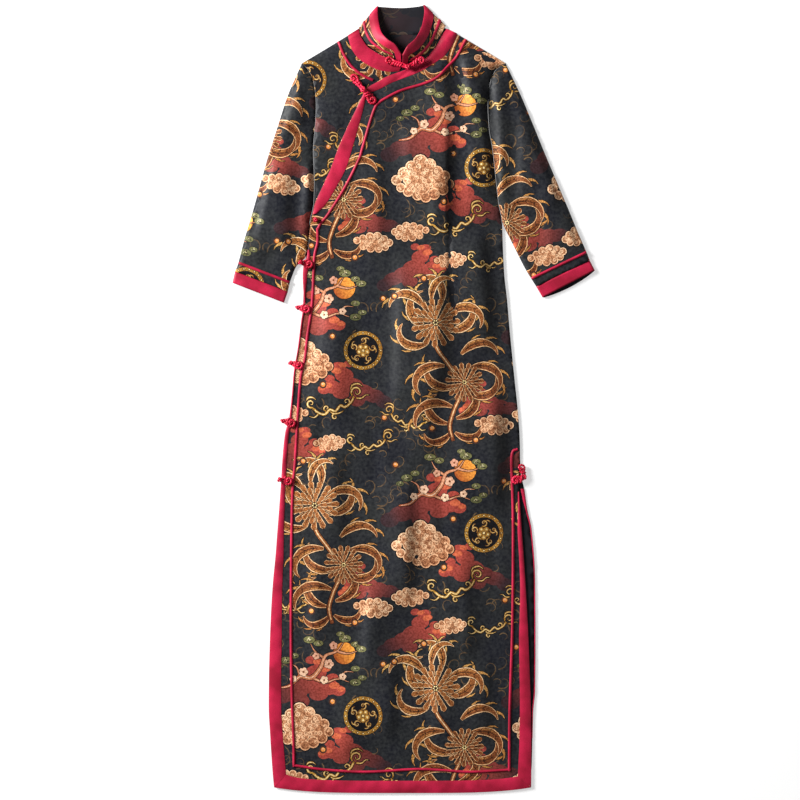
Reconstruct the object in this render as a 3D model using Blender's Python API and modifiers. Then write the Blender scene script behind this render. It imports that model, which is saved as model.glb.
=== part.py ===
"""A long qipao with three-quarter sleeves, laid flat, face up.

Each cut piece is one closed sheet or tube of cloth. The sizes and tables are in millimetres:
X runs to the wearer's left from the centre front, Y runs up from the hem towards the collar,
and Z is the height above the surface that the garment lies on. At the end the whole garment is
moved so that the origin is at the bottom centre of its box.
"""

import math
from collections import namedtuple

import bmesh
import bpy
from mathutils import Vector
from mathutils.bvhtree import BVHTree

MM = 0.001

# Cloth, trim and the spaces between layers
CLOTH = 1.2
COLLAR_WALL = 1.4
TRIM = 0.9
SEAM_GAP = 0.3
ARMHOLE_GAP = 0.6
TRIM_LIFT = 0.4
TRIM_INSET = 0.5
TRIM_REACH = 1.0
PIPING_WIDTH = 4.6
YOKE_HEIGHT = 1.5
FRONT_HEIGHT = 1.8
FRONT_PUFF = 1.8
OVERLAP_LIFT = 1.4

# Frog fastenings
CORD_RADIUS = 1.8
COIL_RADIUS = 7.5
COIL_EYE = 2.1
COIL_TURNS = 1.4
COIL_STEPS = 18
STEM_STEPS = 3
KNOT_SEGMENTS = 10
KNOT_RINGS = 7

# A level line across a panel: the two ends, and how far the middle sags below them
Row = namedtuple("Row", "y left right sag", defaults=(0,))

BACK_ROWS = [
    Row(1302, -72, 73, 12),
    Row(1289, -92, 98, 4),
    Row(1270, -123, 129),
    Row(1242, -170, 176),
    Row(1229, -158, 158),
    Row(1210, -150, 150),
    Row(1170, -146, 146),
    Row(1132, -148, 148),
    Row(1095, -151, 154),
    Row(1040, -149, 160),
    Row(1005, -150, 164),
    Row(972, -156.5, 170),
    Row(940, -158.7, 171),
    Row(914, -161, 172),
    Row(880, -166.3, 174),
    Row(799, -169.7, 182),
    Row(717, -181.6, 190),
    Row(636, -190, 198),
    Row(575, -200.3, 200.6),
    Row(545, -202, 202),
    Row(522, -203.5, 207),
    Row(505, -205, 209.4),
    Row(483, -206, 212.8),
    Row(450, -209, 220),
    Row(411, -212, 222.7),
    Row(364, -216.5, 226),
    Row(262, -221.5, 226.6),
    Row(177, -223.5, 226),
    Row(140, -223.5, 222.7),
    Row(50, -217, 220.5, 5),
    Row(15, -214, 217, 9),
]

YOKE_ROWS = [
    Row(1300.5, -73, -72),
    Row(1289, -92, -70.4),
    Row(1270, -123, -58),
    Row(1255, -148, -33),
    Row(1247.5, -160.5, -13),
    Row(1242, -170, 0),
    Row(1229, -158, 28),
    Row(1210, -150, -13),
    Row(1170, -146, -45),
    Row(1132, -148, -63),
    Row(1095, -151, -79),
    Row(1040, -149, -101),
    Row(1005, -150, -117),
    Row(972, -156.5, -126),
]

FRONT_ROWS = [
    Row(1300, 73.5, 79),
    Row(1277, 61, 118),
    Row(1253, 42.5, 158),
    Row(1242, 26, 176),
    Row(1229, 0, 158),
    Row(1220, -25.5, 153.8),
    Row(1210, -43, 150),
    Row(1199, -62, 148.9),
    Row(1187, -67.5, 147.7),
    Row(1170, -75.5, 146),
    Row(1132, -94, 148),
    Row(1095, -110, 154),
    Row(1065, -121, 157.3),
    Row(1040, -132, 160),
    Row(1005, -148.2, 164),
    Row(985, -152.6, 167.6),
    Row(972, -155, 170),
    Row(940, -158.7, 171),
    Row(914, -161, 172),
    Row(895, -167.5, 173),
    Row(880, -168.3, 174),
    Row(840, -166.8, 178.5),
    Row(799, -171.7, 182),
    Row(758, -176.8, 185.5),
    Row(717, -183.6, 190),
    Row(677, -187, 194),
    Row(636, -192, 198),
    Row(615, -198, 199.5),
    Row(575, -202.3, 200.6),
    Row(524, -205.5, 198.5),
    Row(483, -208.5, 200.8),
    Row(445, -211.5, 203.3),
    Row(405, -214.5, 206.3),
    Row(364, -218.5, 209),
    Row(320, -221.5, 211.5),
    Row(262, -224, 214.3),
    Row(205, -225.5, 216.5),
    Row(150, -226, 218.3),
    Row(100, -223.5, 219, 3),
    Row(60, -221, 219.3, 6),
    Row(33, -219, 219.3, 8.5),
    Row(12, -217, 219, 9.5),
]

# Where the columns of a panel lie, as shares of its width; closer together along the edges
PANEL_SHARES = (0, 0.05, 0.1, 0.18, 0.27, 0.36, 0.45, 0.54, 0.63, 0.72, 0.81, 0.9, 0.95, 1)
FLAT_SHARES = (0, 0.14, 0.28, 0.42, 0.58, 0.72, 0.86, 1)

# A soft ridge, or a trough where the height is less than 0, along a line of the front
Fold = namedtuple("Fold", "x1 y1 x2 y2 width height")

FRONT_FOLDS = [
    Fold(78, 1072, 84, 925, 16, -1.0),
    Fold(84, 925, 93, 772, 16, -0.8),
    Fold(118, 1060, 112, 880, 26, 1.0),
    Fold(-30, 1010, -52, 800, 30, 0.7),
    Fold(-95, 900, -80, 690, 26, 0.8),
    Fold(72, 690, 78, 520, 20, -0.9),
    Fold(20, 640, 34, 380, 34, 0.9),
    Fold(-90, 560, -96, 300, 30, 0.8),
    Fold(118, 480, 124, 190, 28, 0.9),
    Fold(-20, 330, -28, 120, 26, -0.7),
    Fold(66, 260, 60, 90, 24, 0.7),
]

# A ring across a sleeve: its outer and inner edges, and the height of the flattened tube
Ring = namedtuple("Ring", "outer_x outer_y inner_x inner_y height")

RIGHT_SLEEVE_RINGS = [
    Ring(-170, 1242, -156.5, 972, 2.7),
    Ring(-194, 1187, -158.8, 952, 4.0),
    Ring(-211, 1135, -161, 934, 4.8),
    Ring(-227, 1085, -163, 914, 5.2),
    Ring(-241, 1035, -173.5, 903.5, 5.4),
    Ring(-255, 985, -180.5, 895, 5.4),
    Ring(-267.5, 943, -186, 882, 5.4),
    Ring(-278, 903, -190.4, 869.4, 5.4),
    Ring(-283.6, 888, -194, 853.7, 5.4),
    Ring(-288, 869, -200.5, 835, 5.4),
]

LEFT_SLEEVE_RINGS = [
    Ring(176, 1242, 170, 972, 3.0),
    Ring(202, 1187, 176, 959, 4.0),
    Ring(223, 1137, 183, 945, 4.8),
    Ring(243, 1088, 190, 931, 5.2),
    Ring(262, 1043, 197, 917, 5.4),
    Ring(281, 998, 204, 903, 5.4),
    Ring(300, 952, 211, 890, 5.4),
    Ring(313.5, 921, 219.5, 876, 5.4),
    Ring(319, 907, 228, 862.5, 5.4),
    Ring(327.6, 890.3, 238.9, 844, 5.4),
]

# The rows of the back whose ends are the armhole seams
ARMHOLE_TOP = 1242
ARMHOLE_BOTTOM = 972
# How much of the armhole's curve each ring of a sleeve keeps
SEAM_CURVE_KEPT = (1, 0.75, 0.5, 0.3, 0.15)
SLEEVE_EDGE_ROUND = 2.8

# A section of the collar: the foot and the top edge of the middle of its wall. The last number
# is how far the wall swells outwards halfway up.
Section = namedtuple("Section", "foot_x foot_y foot_z top_x top_y top_z swell")

COLLAR_SECTIONS = [
    Section(-1.2, 1243.8, 4.2, -1.6, 1254.5, 22, 0.5),
    Section(-17, 1251, 4.0, -11.5, 1270, 25.5, 1.0),
    Section(-34, 1257.4, 3.8, -25, 1279.5, 24, 1.5),
    Section(-57, 1272.4, 3.8, -36, 1294, 16, 2.0),
    Section(-68, 1287.5, 4.4, -41, 1316, 9, 1.0),
    Section(-71.3, 1297.5, 4.4, -42, 1332, 6, 0.4),
    Section(-73, 1302.2, 2.6, -41.5, 1338, 3.2, 0),
    Section(-70, 1301.7, 0.7, -38.5, 1338.2, 0.7, 0),
    Section(-45, 1292.8, 0.7, -27, 1337.2, 0.7, 0),
    Section(0, 1290.4, 0.7, 0, 1336, 0.7, 0),
    Section(45, 1292.8, 0.7, 25, 1338, 0.7, 0),
    Section(70.5, 1303.6, 0.7, 35, 1340, 0.7, 0),
    Section(74, 1305.6, 2.6, 37.3, 1340.3, 3.2, 0),
    Section(71, 1300, 4.4, 38.3, 1334.5, 6, 0.4),
    Section(64, 1286, 4.4, 38, 1322, 9, 1.0),
    Section(53.5, 1267.5, 4.2, 33.5, 1301, 17, 2.0),
    Section(34.5, 1248.5, 4.6, 23.5, 1281, 24, 1.5),
    Section(16, 1238.5, 5.2, 9.5, 1268, 25.5, 1.0),
    Section(1.2, 1232.5, 5.4, 1.2, 1254, 22, 0.5),
]

COLLAR_STEPS_BETWEEN = 2
COLLAR_LEVELS = (0, 0.2, 0.33, 0.54, 0.78, 1)
COLLAR_PIPING_LEVELS = (0.33, 0.2)
BINDING_LEVELS = (0.98, 0.78)

# The lower edge of the collar's binding, as a share of the wall's height, at steps of half a
# section from the front end back to the side fold. At the front end it turns down to the neck.
Foot = namedtuple("Foot", "steps low")
BINDING_FEET = [
    Foot(0.1, 0.06),
    Foot(1, 0.08),
    Foot(1.7, 0.5),
    Foot(2, 0.54),
    Foot(3, 0.54),
    Foot(4, 0.54),
    Foot(5, 0.54),
    Foot(6, 0.54),
    Foot(7, 0.54),
    Foot(8, 0.54),
    Foot(9, 0.54),
    Foot(9.8, 0.54),
]

# Bands laid on a panel: the two sides of the strip, station by station
Station = namedtuple("Station", "x1 y1 x2 y2")

NECK_BAND = [
    Station(-90.2, 1288.6, -72.6, 1299.2),
    Station(-88.5, 1276, -71, 1289),
    Station(-85, 1265, -66, 1280),
    Station(-76, 1252, -58.8, 1270),
    Station(-60, 1240, -46.5, 1261.5),
    Station(-41, 1231, -33.4, 1254.4),
    Station(-22, 1227.4, -18, 1248.4),
    Station(-5, 1228.2, 1.5, 1242.2),
]

OPENING_BAND = [
    Station(75, 1299, 92, 1291.4),
    Station(67, 1288.4, 88, 1277),
    Station(61.6, 1277, 81, 1266),
    Station(52.8, 1264.5, 71, 1253.5),
    Station(43.2, 1253, 55, 1242),
    Station(27, 1242, 38, 1231),
    Station(13, 1235, 22, 1223.5),
    Station(1, 1229, 6, 1217.5),
    Station(-25, 1219.6, -18, 1208.5),
    Station(-42.6, 1209.6, -36, 1199),
    Station(-61, 1198.8, -56, 1190.2),
    Station(-66.8, 1187, -61.9, 1181),
    Station(-74.8, 1170, -64.7, 1168),
    Station(-93.3, 1132, -75.4, 1129),
    Station(-109.3, 1095, -85.5, 1094),
    Station(-120.3, 1065, -95, 1064),
    Station(-131.3, 1040, -107, 1040),
    Station(-147.6, 1004, -128.3, 1004),
    Station(-152, 985, -144, 987),
]

# Widths of the edge bands at heights up the side and up the slit
Width = namedtuple("Width", "y width")

SIDE_BAND_WIDTHS = [
    Width(925, 3),
    Width(905, 8),
    Width(894, 11),
    Width(865, 7),
    Width(847, 3),
    Width(750, 2.2),
    Width(660, 2.6),
    Width(619, 6.5),
    Width(560, 7.2),
    Width(480, 9),
    Width(398, 13.5),
    Width(330, 17),
    Width(262, 19.5),
    Width(170, 20.5),
    Width(88, 21),
]

SLIT_BAND_WIDTHS = [
    Width(514, 1.8),
    Width(480, 4),
    Width(445, 6.8),
    Width(405, 7.6),
    Width(364, 8.5),
    Width(310, 12),
    Width(262, 15.5),
    Width(200, 17),
    Width(141, 18.2),
    Width(80, 20),
]

BACK_SLIT_WIDTHS = [
    Width(519, 6),
    Width(505, 5.6),
    Width(483, 2.8),
    Width(450, 1.8),
    Width(411, 1.6),
    Width(364, 1.5),
    Width(262, 1.5),
    Width(177, 1.5),
    Width(140, 1.5),
    Width(95, 1.3),
]

HEM_BAND_WIDTH = 20
SIDE_CORNER = Station(-216.4, 13.6, -198, 35.2)
SLIT_CORNER = Station(197.4, 31.2, 218.4, 12.8)
HEM_CORNER_RIGHT = Station(-215.6, 12.4, -197, 34)
HEM_CORNER_LEFT = Station(217.2, 12.6, 196.4, 30.2)
HEM_BAND_STATIONS = 14

# Narrow pipings follow a route on the front, about 7 mm inside the bands
Stop = namedtuple("Stop", "x y")

OPENING_PIPING = [
    Stop(107.4, 1280.4),
    Stop(92.7, 1253),
    Stop(78, 1236),
    Stop(61, 1218),
    Stop(39, 1207.5),
    Stop(-1, 1195.5),
    Stop(-29, 1181.5),
    Stop(-39, 1175),
    Stop(-45.4, 1167.5),
    Stop(-54.4, 1142),
    Stop(-67.5, 1096.5),
    Stop(-73.4, 1078),
    Stop(-97.4, 1030),
    Stop(-125, 986),
    Stop(-141.5, 966),
]

SIDE_PIPING = [
    Stop(-143.5, 962),
    Stop(-143.5, 938),
    Stop(-148.9, 912),
    Stop(-151.3, 857),
    Stop(-154.2, 822),
    Stop(-161, 777),
    Stop(-164.9, 741),
    Stop(-171.7, 710),
    Stop(-176, 660),
    Stop(-181.6, 566),
    Stop(-186, 513),
    Stop(-188, 398),
    Stop(-188.4, 262),
    Stop(-186.7, 158),
    Stop(-184, 88),
    Stop(-183.6, 48),
]

HEM_PIPING = [
    Stop(-180.6, 49),
    Stop(-129, 41.5),
    Stop(-59.5, 38),
    Stop(22, 42.5),
    Stop(66, 41),
    Stop(117, 38),
    Stop(179.2, 41.5),
]

SLIT_PIPING = [
    Stop(182.2, 39),
    Stop(183, 141),
    Stop(187, 262),
    Stop(188.6, 364),
    Stop(188.6, 480),
    Stop(186.2, 573),
    Stop(196.4, 586.6),
]

NECK_PIPING = [
    Stop(-106.4, 1275.6),
    Stop(-98.6, 1256),
    Stop(-85, 1236),
    Stop(-66.8, 1221.5),
    Stop(-49.5, 1213),
]

PIPING_STEP = 26

# Frogs: the knotted balls, and the coils of cord whose free ends lead to them
Knot = namedtuple("Knot", "name x y radius")

FROG_KNOTS = [
    Knot("frog_collar_knot", 9.5, 1234.5, 5.2),
    Knot("frog_corner_knot", -65.5, 1196, 5.4),
    Knot("frog_armpit_knot", -146.5, 975.5, 4.6),
    Knot("frog_side_1_knot", -172.2, 903, 4.4),
    Knot("frog_side_2_knot", -177.2, 827, 4.4),
    Knot("frog_side_3_knot", -189.2, 732.6, 4.4),
    Knot("frog_side_4_knot", -202.4, 634.6, 4.4),
    Knot("frog_side_5_knot", -207.6, 534.6, 4.6),
    Knot("frog_slit_knot", 208.4, 538.6, 4.0),
]

Coil = namedtuple("Coil", "name x y size knot")

FROG_COILS = [
    Coil("frog_collar_loop", -22, 1245.6, 0.95, "frog_collar_knot"),
    Coil("frog_collar_knot_coil", 32, 1246.4, 0.9, "frog_collar_knot"),
    Coil("frog_corner_loop", -82, 1216.5, 0.95, "frog_corner_knot"),
    Coil("frog_corner_knot_coil", -50, 1179.5, 1.05, "frog_corner_knot"),
    Coil("frog_side_1_loop", -157.6, 901, 1.0, "frog_side_1_knot"),
    Coil("frog_side_2_loop", -162.6, 825, 1.0, "frog_side_2_knot"),
    Coil("frog_side_3_loop", -174.4, 729.4, 1.0, "frog_side_3_knot"),
    Coil("frog_side_4_loop", -187.4, 631.4, 1.05, "frog_side_4_knot"),
    Coil("frog_side_5_loop", -192.6, 533, 1.0, "frog_side_5_knot"),
    Coil("frog_slit_loop", 193.6, 533.4, 1.0, "frog_slit_knot"),
    Coil("frog_slit_knot_coil", 202.6, 555, 0.85, "frog_slit_knot"),
]

# Colours as sRGB hex, with roughness
PRINTED_SILK = ("printed silk", "#2b2c31", 0.55)
SATIN = ("crimson satin", "#b3213f", 0.42)
SATIN_CORD = ("crimson corded satin", "#a81c38", 0.5)


def srgb_to_linear(value):
    if value <= 0.04045:
        return value / 12.92
    return ((value + 0.055) / 1.055) ** 2.4


def linear_colour(hex_colour):
    channels = [int(hex_colour[i : i + 2], 16) / 255 for i in (1, 3, 5)]
    return tuple(srgb_to_linear(c) for c in channels) + (1.0,)


def make_material(name, hex_colour, roughness):
    material = bpy.data.materials.new(name)
    material.use_nodes = True
    shader = material.node_tree.nodes["Principled BSDF"]
    shader.inputs["Base Color"].default_value = linear_colour(hex_colour)
    shader.inputs["Roughness"].default_value = roughness
    shader.inputs["Metallic"].default_value = 0.0
    material.diffuse_color = linear_colour(hex_colour)
    return material


def smooth(share):
    share = min(max(share, 0.0), 1.0)
    return share * share * (3 - 2 * share)


def mix(a, b, share):
    return a + (b - a) * share


def level_point(row, share):
    """A point on a panel's level line, which sags in the middle."""
    sag = row.sag * (1 - (2 * share - 1) ** 4)
    return mix(row.left, row.right, share), row.y - sag


def edges_at(rows, y):
    """The left and right edges of a panel at a height, straight between its rows."""
    for upper, lower in zip(rows, rows[1:]):
        if lower.y <= y <= upper.y:
            share = (upper.y - y) / (upper.y - lower.y)
            return mix(upper.left, lower.left, share), mix(upper.right, lower.right, share)
    nearest = rows[0] if y > rows[0].y else rows[-1]
    return nearest.left, nearest.right


def fold_height(x, y, folds):
    total = 0.0
    for fold in folds:
        start = Vector((fold.x1, fold.y1))
        along = Vector((fold.x2, fold.y2)) - start
        share = (Vector((x, y)) - start).dot(along) / along.length_squared
        away = (Vector((x, y)) - start - along * share).length
        ends = smooth(share / 0.25) * smooth((1 - share) / 0.25)
        total += fold.height * ends * math.exp(-((away / fold.width) ** 2))
    return total


def back_height(x, y):
    return 0.0


def yoke_height(x, y):
    return YOKE_HEIGHT


def front_height(x, y):
    """The underside of the front: flat along its edges, lifted over the yoke, soft between."""
    left, right = edges_at(FRONT_ROWS, y)
    from_edge = min(x - left, right - x)
    puff = FRONT_PUFF * smooth((from_edge - 45) / 70) * smooth((1130 - y) / 180) * smooth((y - 50) / 90)
    inside = smooth((from_edge - 40) / 30)
    yoke_right = edges_at(YOKE_ROWS, y)[1]
    over_yoke = smooth((yoke_right + 58 - x) / 50) * smooth((y - 925) / 45)
    return FRONT_HEIGHT + puff + OVERLAP_LIFT * over_yoke + inside * fold_height(x, y, FRONT_FOLDS)


def new_object(name, data, material, collection):
    data.materials.append(material)
    thing = bpy.data.objects.new(name, data)
    collection.objects.link(thing)
    return thing


def turn_faces_out(work, closed):
    """Faces of a flat sheet look up; those of a tube look away from its middle."""
    work.normal_update()
    middle = sum((vert.co.z for vert in work.verts), 0.0) / len(work.verts)
    total = 0.0
    for face in work.faces:
        above = face.calc_center_median().z - middle if closed else 1.0
        total += face.normal.z * face.calc_area() * above
    if total < 0:
        bmesh.ops.reverse_faces(work, faces=work.faces)


def sheet_from_grid(name, grid, thickness, offset, material, collection, closed=False):
    """An open surface through rows of points, thickened into a wall."""
    mesh = bpy.data.meshes.new(name)
    work = bmesh.new()
    rows = [[work.verts.new(Vector(point) * MM) for point in row] for row in grid]
    for upper, lower in zip(rows, rows[1:]):
        count = len(upper)
        for i in range(count if closed else count - 1):
            j = (i + 1) % count
            work.faces.new((upper[i], lower[i], lower[j], upper[j]))
    turn_faces_out(work, closed)
    work.to_mesh(mesh)
    work.free()
    mesh.shade_smooth()
    mesh.set_sharp_from_angle(angle=math.radians(50))
    thing = new_object(name, mesh, material, collection)
    wall = thing.modifiers.new("wall", "SOLIDIFY")
    wall.thickness = thickness * MM
    wall.offset = offset
    return thing


def make_panel(name, rows, shares, height, material, collection):
    """A cut panel, with its armhole edges set back for the sleeve seams."""
    grid = []
    for row in rows:
        at_armhole = ARMHOLE_BOTTOM <= row.y <= ARMHOLE_TOP
        points = []
        for share in shares:
            x, y = level_point(row, share)
            if at_armhole and share == 0 and abs(x) > 140:
                x += ARMHOLE_GAP / 2
            if at_armhole and share == 1 and abs(x) > 140:
                x -= ARMHOLE_GAP / 2
            points.append((x, y, height(x, y)))
        grid.append(points)
    return sheet_from_grid(name, grid, CLOTH, 1, material, collection)


def armhole_seam(side):
    """The points of one armhole seam, from the shoulder to the armpit."""
    rows = [row for row in BACK_ROWS if ARMHOLE_BOTTOM <= row.y <= ARMHOLE_TOP]
    return [(row.left if side < 0 else row.right, row.y) for row in rows]


def ring_across(rings, index, seam, side):
    """The points across one ring of a sleeve, from its outer to its inner edge."""
    ring = rings[index]
    outer = Vector((ring.outer_x, ring.outer_y))
    inner = Vector((ring.inner_x, ring.inner_y))
    seam_start = Vector(seam[0])
    seam_end = Vector(seam[-1])
    kept = SEAM_CURVE_KEPT[index] if index < len(SEAM_CURVE_KEPT) else 0
    steps = [(Vector(point) - seam_start).length for point in seam]
    across = []
    for point in seam:
        share = (seam_start.y - point[1]) / (seam_start.y - seam_end.y)
        bow = Vector(point) - seam_start.lerp(seam_end, share)
        across.append(outer.lerp(inner, share) + bow * kept)
    near_outer = across[0].lerp(across[1], SLEEVE_EDGE_ROUND / steps[1])
    last_step = (Vector(seam[-1]) - Vector(seam[-2])).length
    near_inner = across[-1].lerp(across[-2], SLEEVE_EDGE_ROUND / last_step)
    if index == 0:
        for point in across + [near_outer, near_inner]:
            point.x += side * ARMHOLE_GAP / 2
    return across[:1] + [near_outer] + across[1:-1] + [near_inner] + across[-1:]


def sleeve_ring(rings, index, seam, side):
    """A whole ring: over the top from the outer edge, and back along the underside."""
    across = ring_across(rings, index, seam, side)
    height = rings[index].height
    top = [(p.x, p.y, height) for p in across[1:-1]]
    under = [(p.x, p.y, 0.0) for p in reversed(across[1:-1])]
    outer = (across[0].x, across[0].y, height / 2)
    inner = (across[-1].x, across[-1].y, height / 2)
    ring = [outer] + top + [inner] + under
    return ring if side > 0 else ring[:1] + ring[:0:-1]


def shift_ring(ring, towards, distance):
    """A ring moved a little towards the next one, to leave a seam gap."""
    moved = []
    for point, target in zip(ring, towards):
        step = (Vector(target) - Vector(point)).normalized() * distance
        moved.append(tuple(Vector(point) + step))
    return moved


def make_sleeve(name, rings, side, materials, collection):
    """A flattened tube of cloth, and the satin cuff band that goes on round its end."""
    seam = armhole_seam(side)
    body = [sleeve_ring(rings, i, seam, side) for i in range(len(rings))]
    cuff = [shift_ring(body[-2], body[-1], SEAM_GAP), body[-1]]
    sheet_from_grid(f"sleeve_{name}", body[:-1], CLOTH, -1, materials["silk"], collection, True)
    sheet_from_grid(f"cuff_band_{name}", cuff, CLOTH, -1, materials["satin"], collection, True)
    line = ring_across(rings, len(rings) - 3, seam, side)[1:-1]
    return [Stop(p.x, p.y) for p in line]


def collar_point(along, level, outwards=0.0):
    """A point of the collar's wall, from its right front end round the back to the left one."""

    def middle(share_along, share_up):
        place = min(max(share_along, 0.0), 1.0) * (len(COLLAR_SECTIONS) - 1)
        index = min(int(place), len(COLLAR_SECTIONS) - 2)
        part = place - index
        first = Vector(section_point(COLLAR_SECTIONS[index], share_up))
        second = Vector(section_point(COLLAR_SECTIONS[index + 1], share_up))
        return first.lerp(second, part)

    point = middle(along, level)
    if outwards == 0.0:
        return point
    step = 0.012
    run = middle(along + step, level) - middle(along - step, level)
    rise = middle(along, min(level + 0.05, 1)) - middle(along, max(level - 0.05, 0))
    return point + rise.cross(run).normalized() * outwards


def section_point(section, level):
    swell = section.swell * math.sin(math.pi * level)
    x = mix(section.foot_x, section.top_x, level)
    y = mix(section.foot_y, section.top_y, level)
    z = mix(section.foot_z, section.top_z, level) + swell
    return x, y, z


def make_collar(materials, collection):
    last = (len(COLLAR_SECTIONS) - 1) * COLLAR_STEPS_BETWEEN
    grid = []
    for level in reversed(COLLAR_LEVELS):
        grid.append([collar_point(i / last, level) for i in range(last + 1)])
    sheet_from_grid("collar", grid, COLLAR_WALL, 0, materials["silk"], collection)

    off = COLLAR_WALL / 2 + TRIM_LIFT + TRIM / 2
    for side in ("right", "left"):
        binding = [[] for level in BINDING_LEVELS] + [[]]
        piping = [[] for level in COLLAR_PIPING_LEVELS]
        for foot in BINDING_FEET:
            along = foot.steps / last if side == "right" else 1 - foot.steps / last
            for row, level in zip(binding, BINDING_LEVELS + (foot.low,)):
                row.append(collar_point(along, level, off))
            if foot.steps >= 2:
                for row, level in zip(piping, COLLAR_PIPING_LEVELS):
                    row.append(collar_point(along, level, off))
        satin = materials["satin"]
        sheet_from_grid(f"collar_binding_{side}", binding, TRIM, 0, satin, collection)
        sheet_from_grid(f"collar_piping_{side}", piping, TRIM, 0, satin, collection)


class Carrier:
    """The upper surface of pieces already made, for laying trim on."""

    def __init__(self, names):
        bpy.context.view_layer.update()
        graph = bpy.context.evaluated_depsgraph_get()
        self.trees = [BVHTree.FromObject(bpy.data.objects[name], graph) for name in names]

    def height(self, x, y):
        """The highest surface under a point, in millimetres, or None beside them all."""
        above = Vector((x, y, 200)) * MM
        found = [tree.ray_cast(above, Vector((0, 0, -1)))[0] for tree in self.trees]
        heights = [hit.z / MM for hit in found if hit is not None]
        return max(heights) if heights else None

    def near_height(self, x, y, reach):
        """The highest surface within a reach of a point, or None beside them all."""
        spots = [(0, 0), (reach, 0), (-reach, 0), (0, reach), (0, -reach)]
        found = [self.height(x + dx, y + dy) for dx, dy in spots]
        return max((height for height in found if height is not None), default=None)


def lay_strip(name, stations, carrier, material, collection):
    """A flat strip laid on the pieces of a carrier, TRIM_LIFT above them."""
    first = []
    second = []
    for station in stations:
        for x, y, side in ((station.x1, station.y1, first), (station.x2, station.y2, second)):
            height = carrier.near_height(x, y, TRIM_REACH)
            if height is None:
                raise ValueError(f"{name} reaches past its panel at {x:.1f}, {y:.1f}")
            side.append((x, y, height + TRIM_LIFT))
    return sheet_from_grid(name, [first, second], TRIM, 1, material, collection)


def stations_along(route, width, step=PIPING_STEP):
    """The two sides of a strip of even width along a route."""
    points = []
    for start, end in zip(route, route[1:]):
        a = Vector((start.x, start.y))
        b = Vector((end.x, end.y))
        count = max(1, round((b - a).length / step))
        points += [a.lerp(b, i / count) for i in range(count)]
    points.append(Vector((route[-1].x, route[-1].y)))
    stations = []
    for i, point in enumerate(points):
        before = points[max(i - 1, 0)]
        after = points[min(i + 1, len(points) - 1)]
        run = (after - before).normalized()
        aside = Vector((-run.y, run.x)) * width / 2
        stations.append(Station(point.x - aside.x, point.y - aside.y, point.x + aside.x, point.y + aside.y))
    return stations


def edge_stations(rows, widths, side):
    """Stations of a band along the left or right edge of a panel."""
    stations = []
    for entry in widths:
        left, right = edges_at(rows, entry.y)
        if side == "left":
            stations.append(Station(left + TRIM_INSET, entry.y, left + entry.width, entry.y))
        else:
            stations.append(Station(right - entry.width, entry.y, right - TRIM_INSET, entry.y))
    return stations


def hem_stations():
    """Stations of the hem band between its mitred corners."""
    hem = FRONT_ROWS[-1]
    stations = [HEM_CORNER_RIGHT]
    for i in range(1, HEM_BAND_STATIONS):
        share = i / HEM_BAND_STATIONS
        x = mix(HEM_CORNER_RIGHT.x2, HEM_CORNER_LEFT.x2, share)
        along = (x - hem.left) / (hem.right - hem.left)
        y = level_point(hem, along)[1] + TRIM_INSET
        stations.append(Station(x, y, x, y + HEM_BAND_WIDTH))
    return stations + [HEM_CORNER_LEFT]


def make_tube(name, points, radius, material, collection):
    curve = bpy.data.curves.new(name, "CURVE")
    curve.dimensions = "3D"
    curve.bevel_depth = radius * MM
    curve.bevel_resolution = 1
    curve.use_fill_caps = True
    spline = curve.splines.new("POLY")
    spline.points.add(len(points) - 1)
    for target, point in zip(spline.points, points):
        target.co = (*(Vector(point) * MM), 1)
    return new_object(name, curve, material, collection)


def make_knot(knot, carrier, material, collection):
    """A knotted ball button, resting on what lies under it. Returns its centre."""
    mesh = bpy.data.meshes.new(knot.name)
    work = bmesh.new()
    bmesh.ops.create_uvsphere(work, u_segments=KNOT_SEGMENTS, v_segments=KNOT_RINGS, radius=knot.radius * MM)
    work.to_mesh(mesh)
    work.free()
    mesh.shade_smooth()
    thing = new_object(knot.name, mesh, material, collection)
    rest = carrier.near_height(knot.x, knot.y, knot.radius * 0.9) or 0.0
    centre = Vector((knot.x, knot.y, rest + SEAM_GAP + knot.radius))
    thing.location = centre * MM
    return centre


def make_coil(coil, ball, ball_radius, carrier, material, collection):
    """A flat spiral of cord from a small eye outwards, whose free end leads to its knotted ball."""
    cord = CORD_RADIUS * coil.size
    towards = Vector((ball.x - coil.x, ball.y - coil.y))
    turned = math.atan2(towards.y, towards.x)
    spiral = []
    for i in range(COIL_STEPS + 1):
        share = i / COIL_STEPS
        angle = -math.pi / 2 - 2 * math.pi * COIL_TURNS * (1 - share) + turned
        radius = mix(COIL_EYE, COIL_RADIUS, share) * coil.size
        spiral.append((coil.x + radius * math.cos(angle), coil.y + radius * math.sin(angle)))
    rest = max(carrier.near_height(x, y, cord) or 0.0 for x, y in spiral) + SEAM_GAP + cord
    points = [Vector((x, y, rest)) for x, y in spiral]
    start = points[-1] + Vector((towards.x, towards.y, 0)).normalized() * COIL_RADIUS * coil.size * 0.4
    end = ball + (start - ball).normalized() * (ball_radius + SEAM_GAP)
    for i in range(STEM_STEPS + 1):
        x, y, z = start.lerp(end, i / STEM_STEPS)
        clear = (carrier.near_height(x, y, cord) or 0.0) + SEAM_GAP + cord
        points.append(Vector((x, y, max(z, clear))))
    make_tube(coil.name, points, cord, material, collection)


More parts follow.
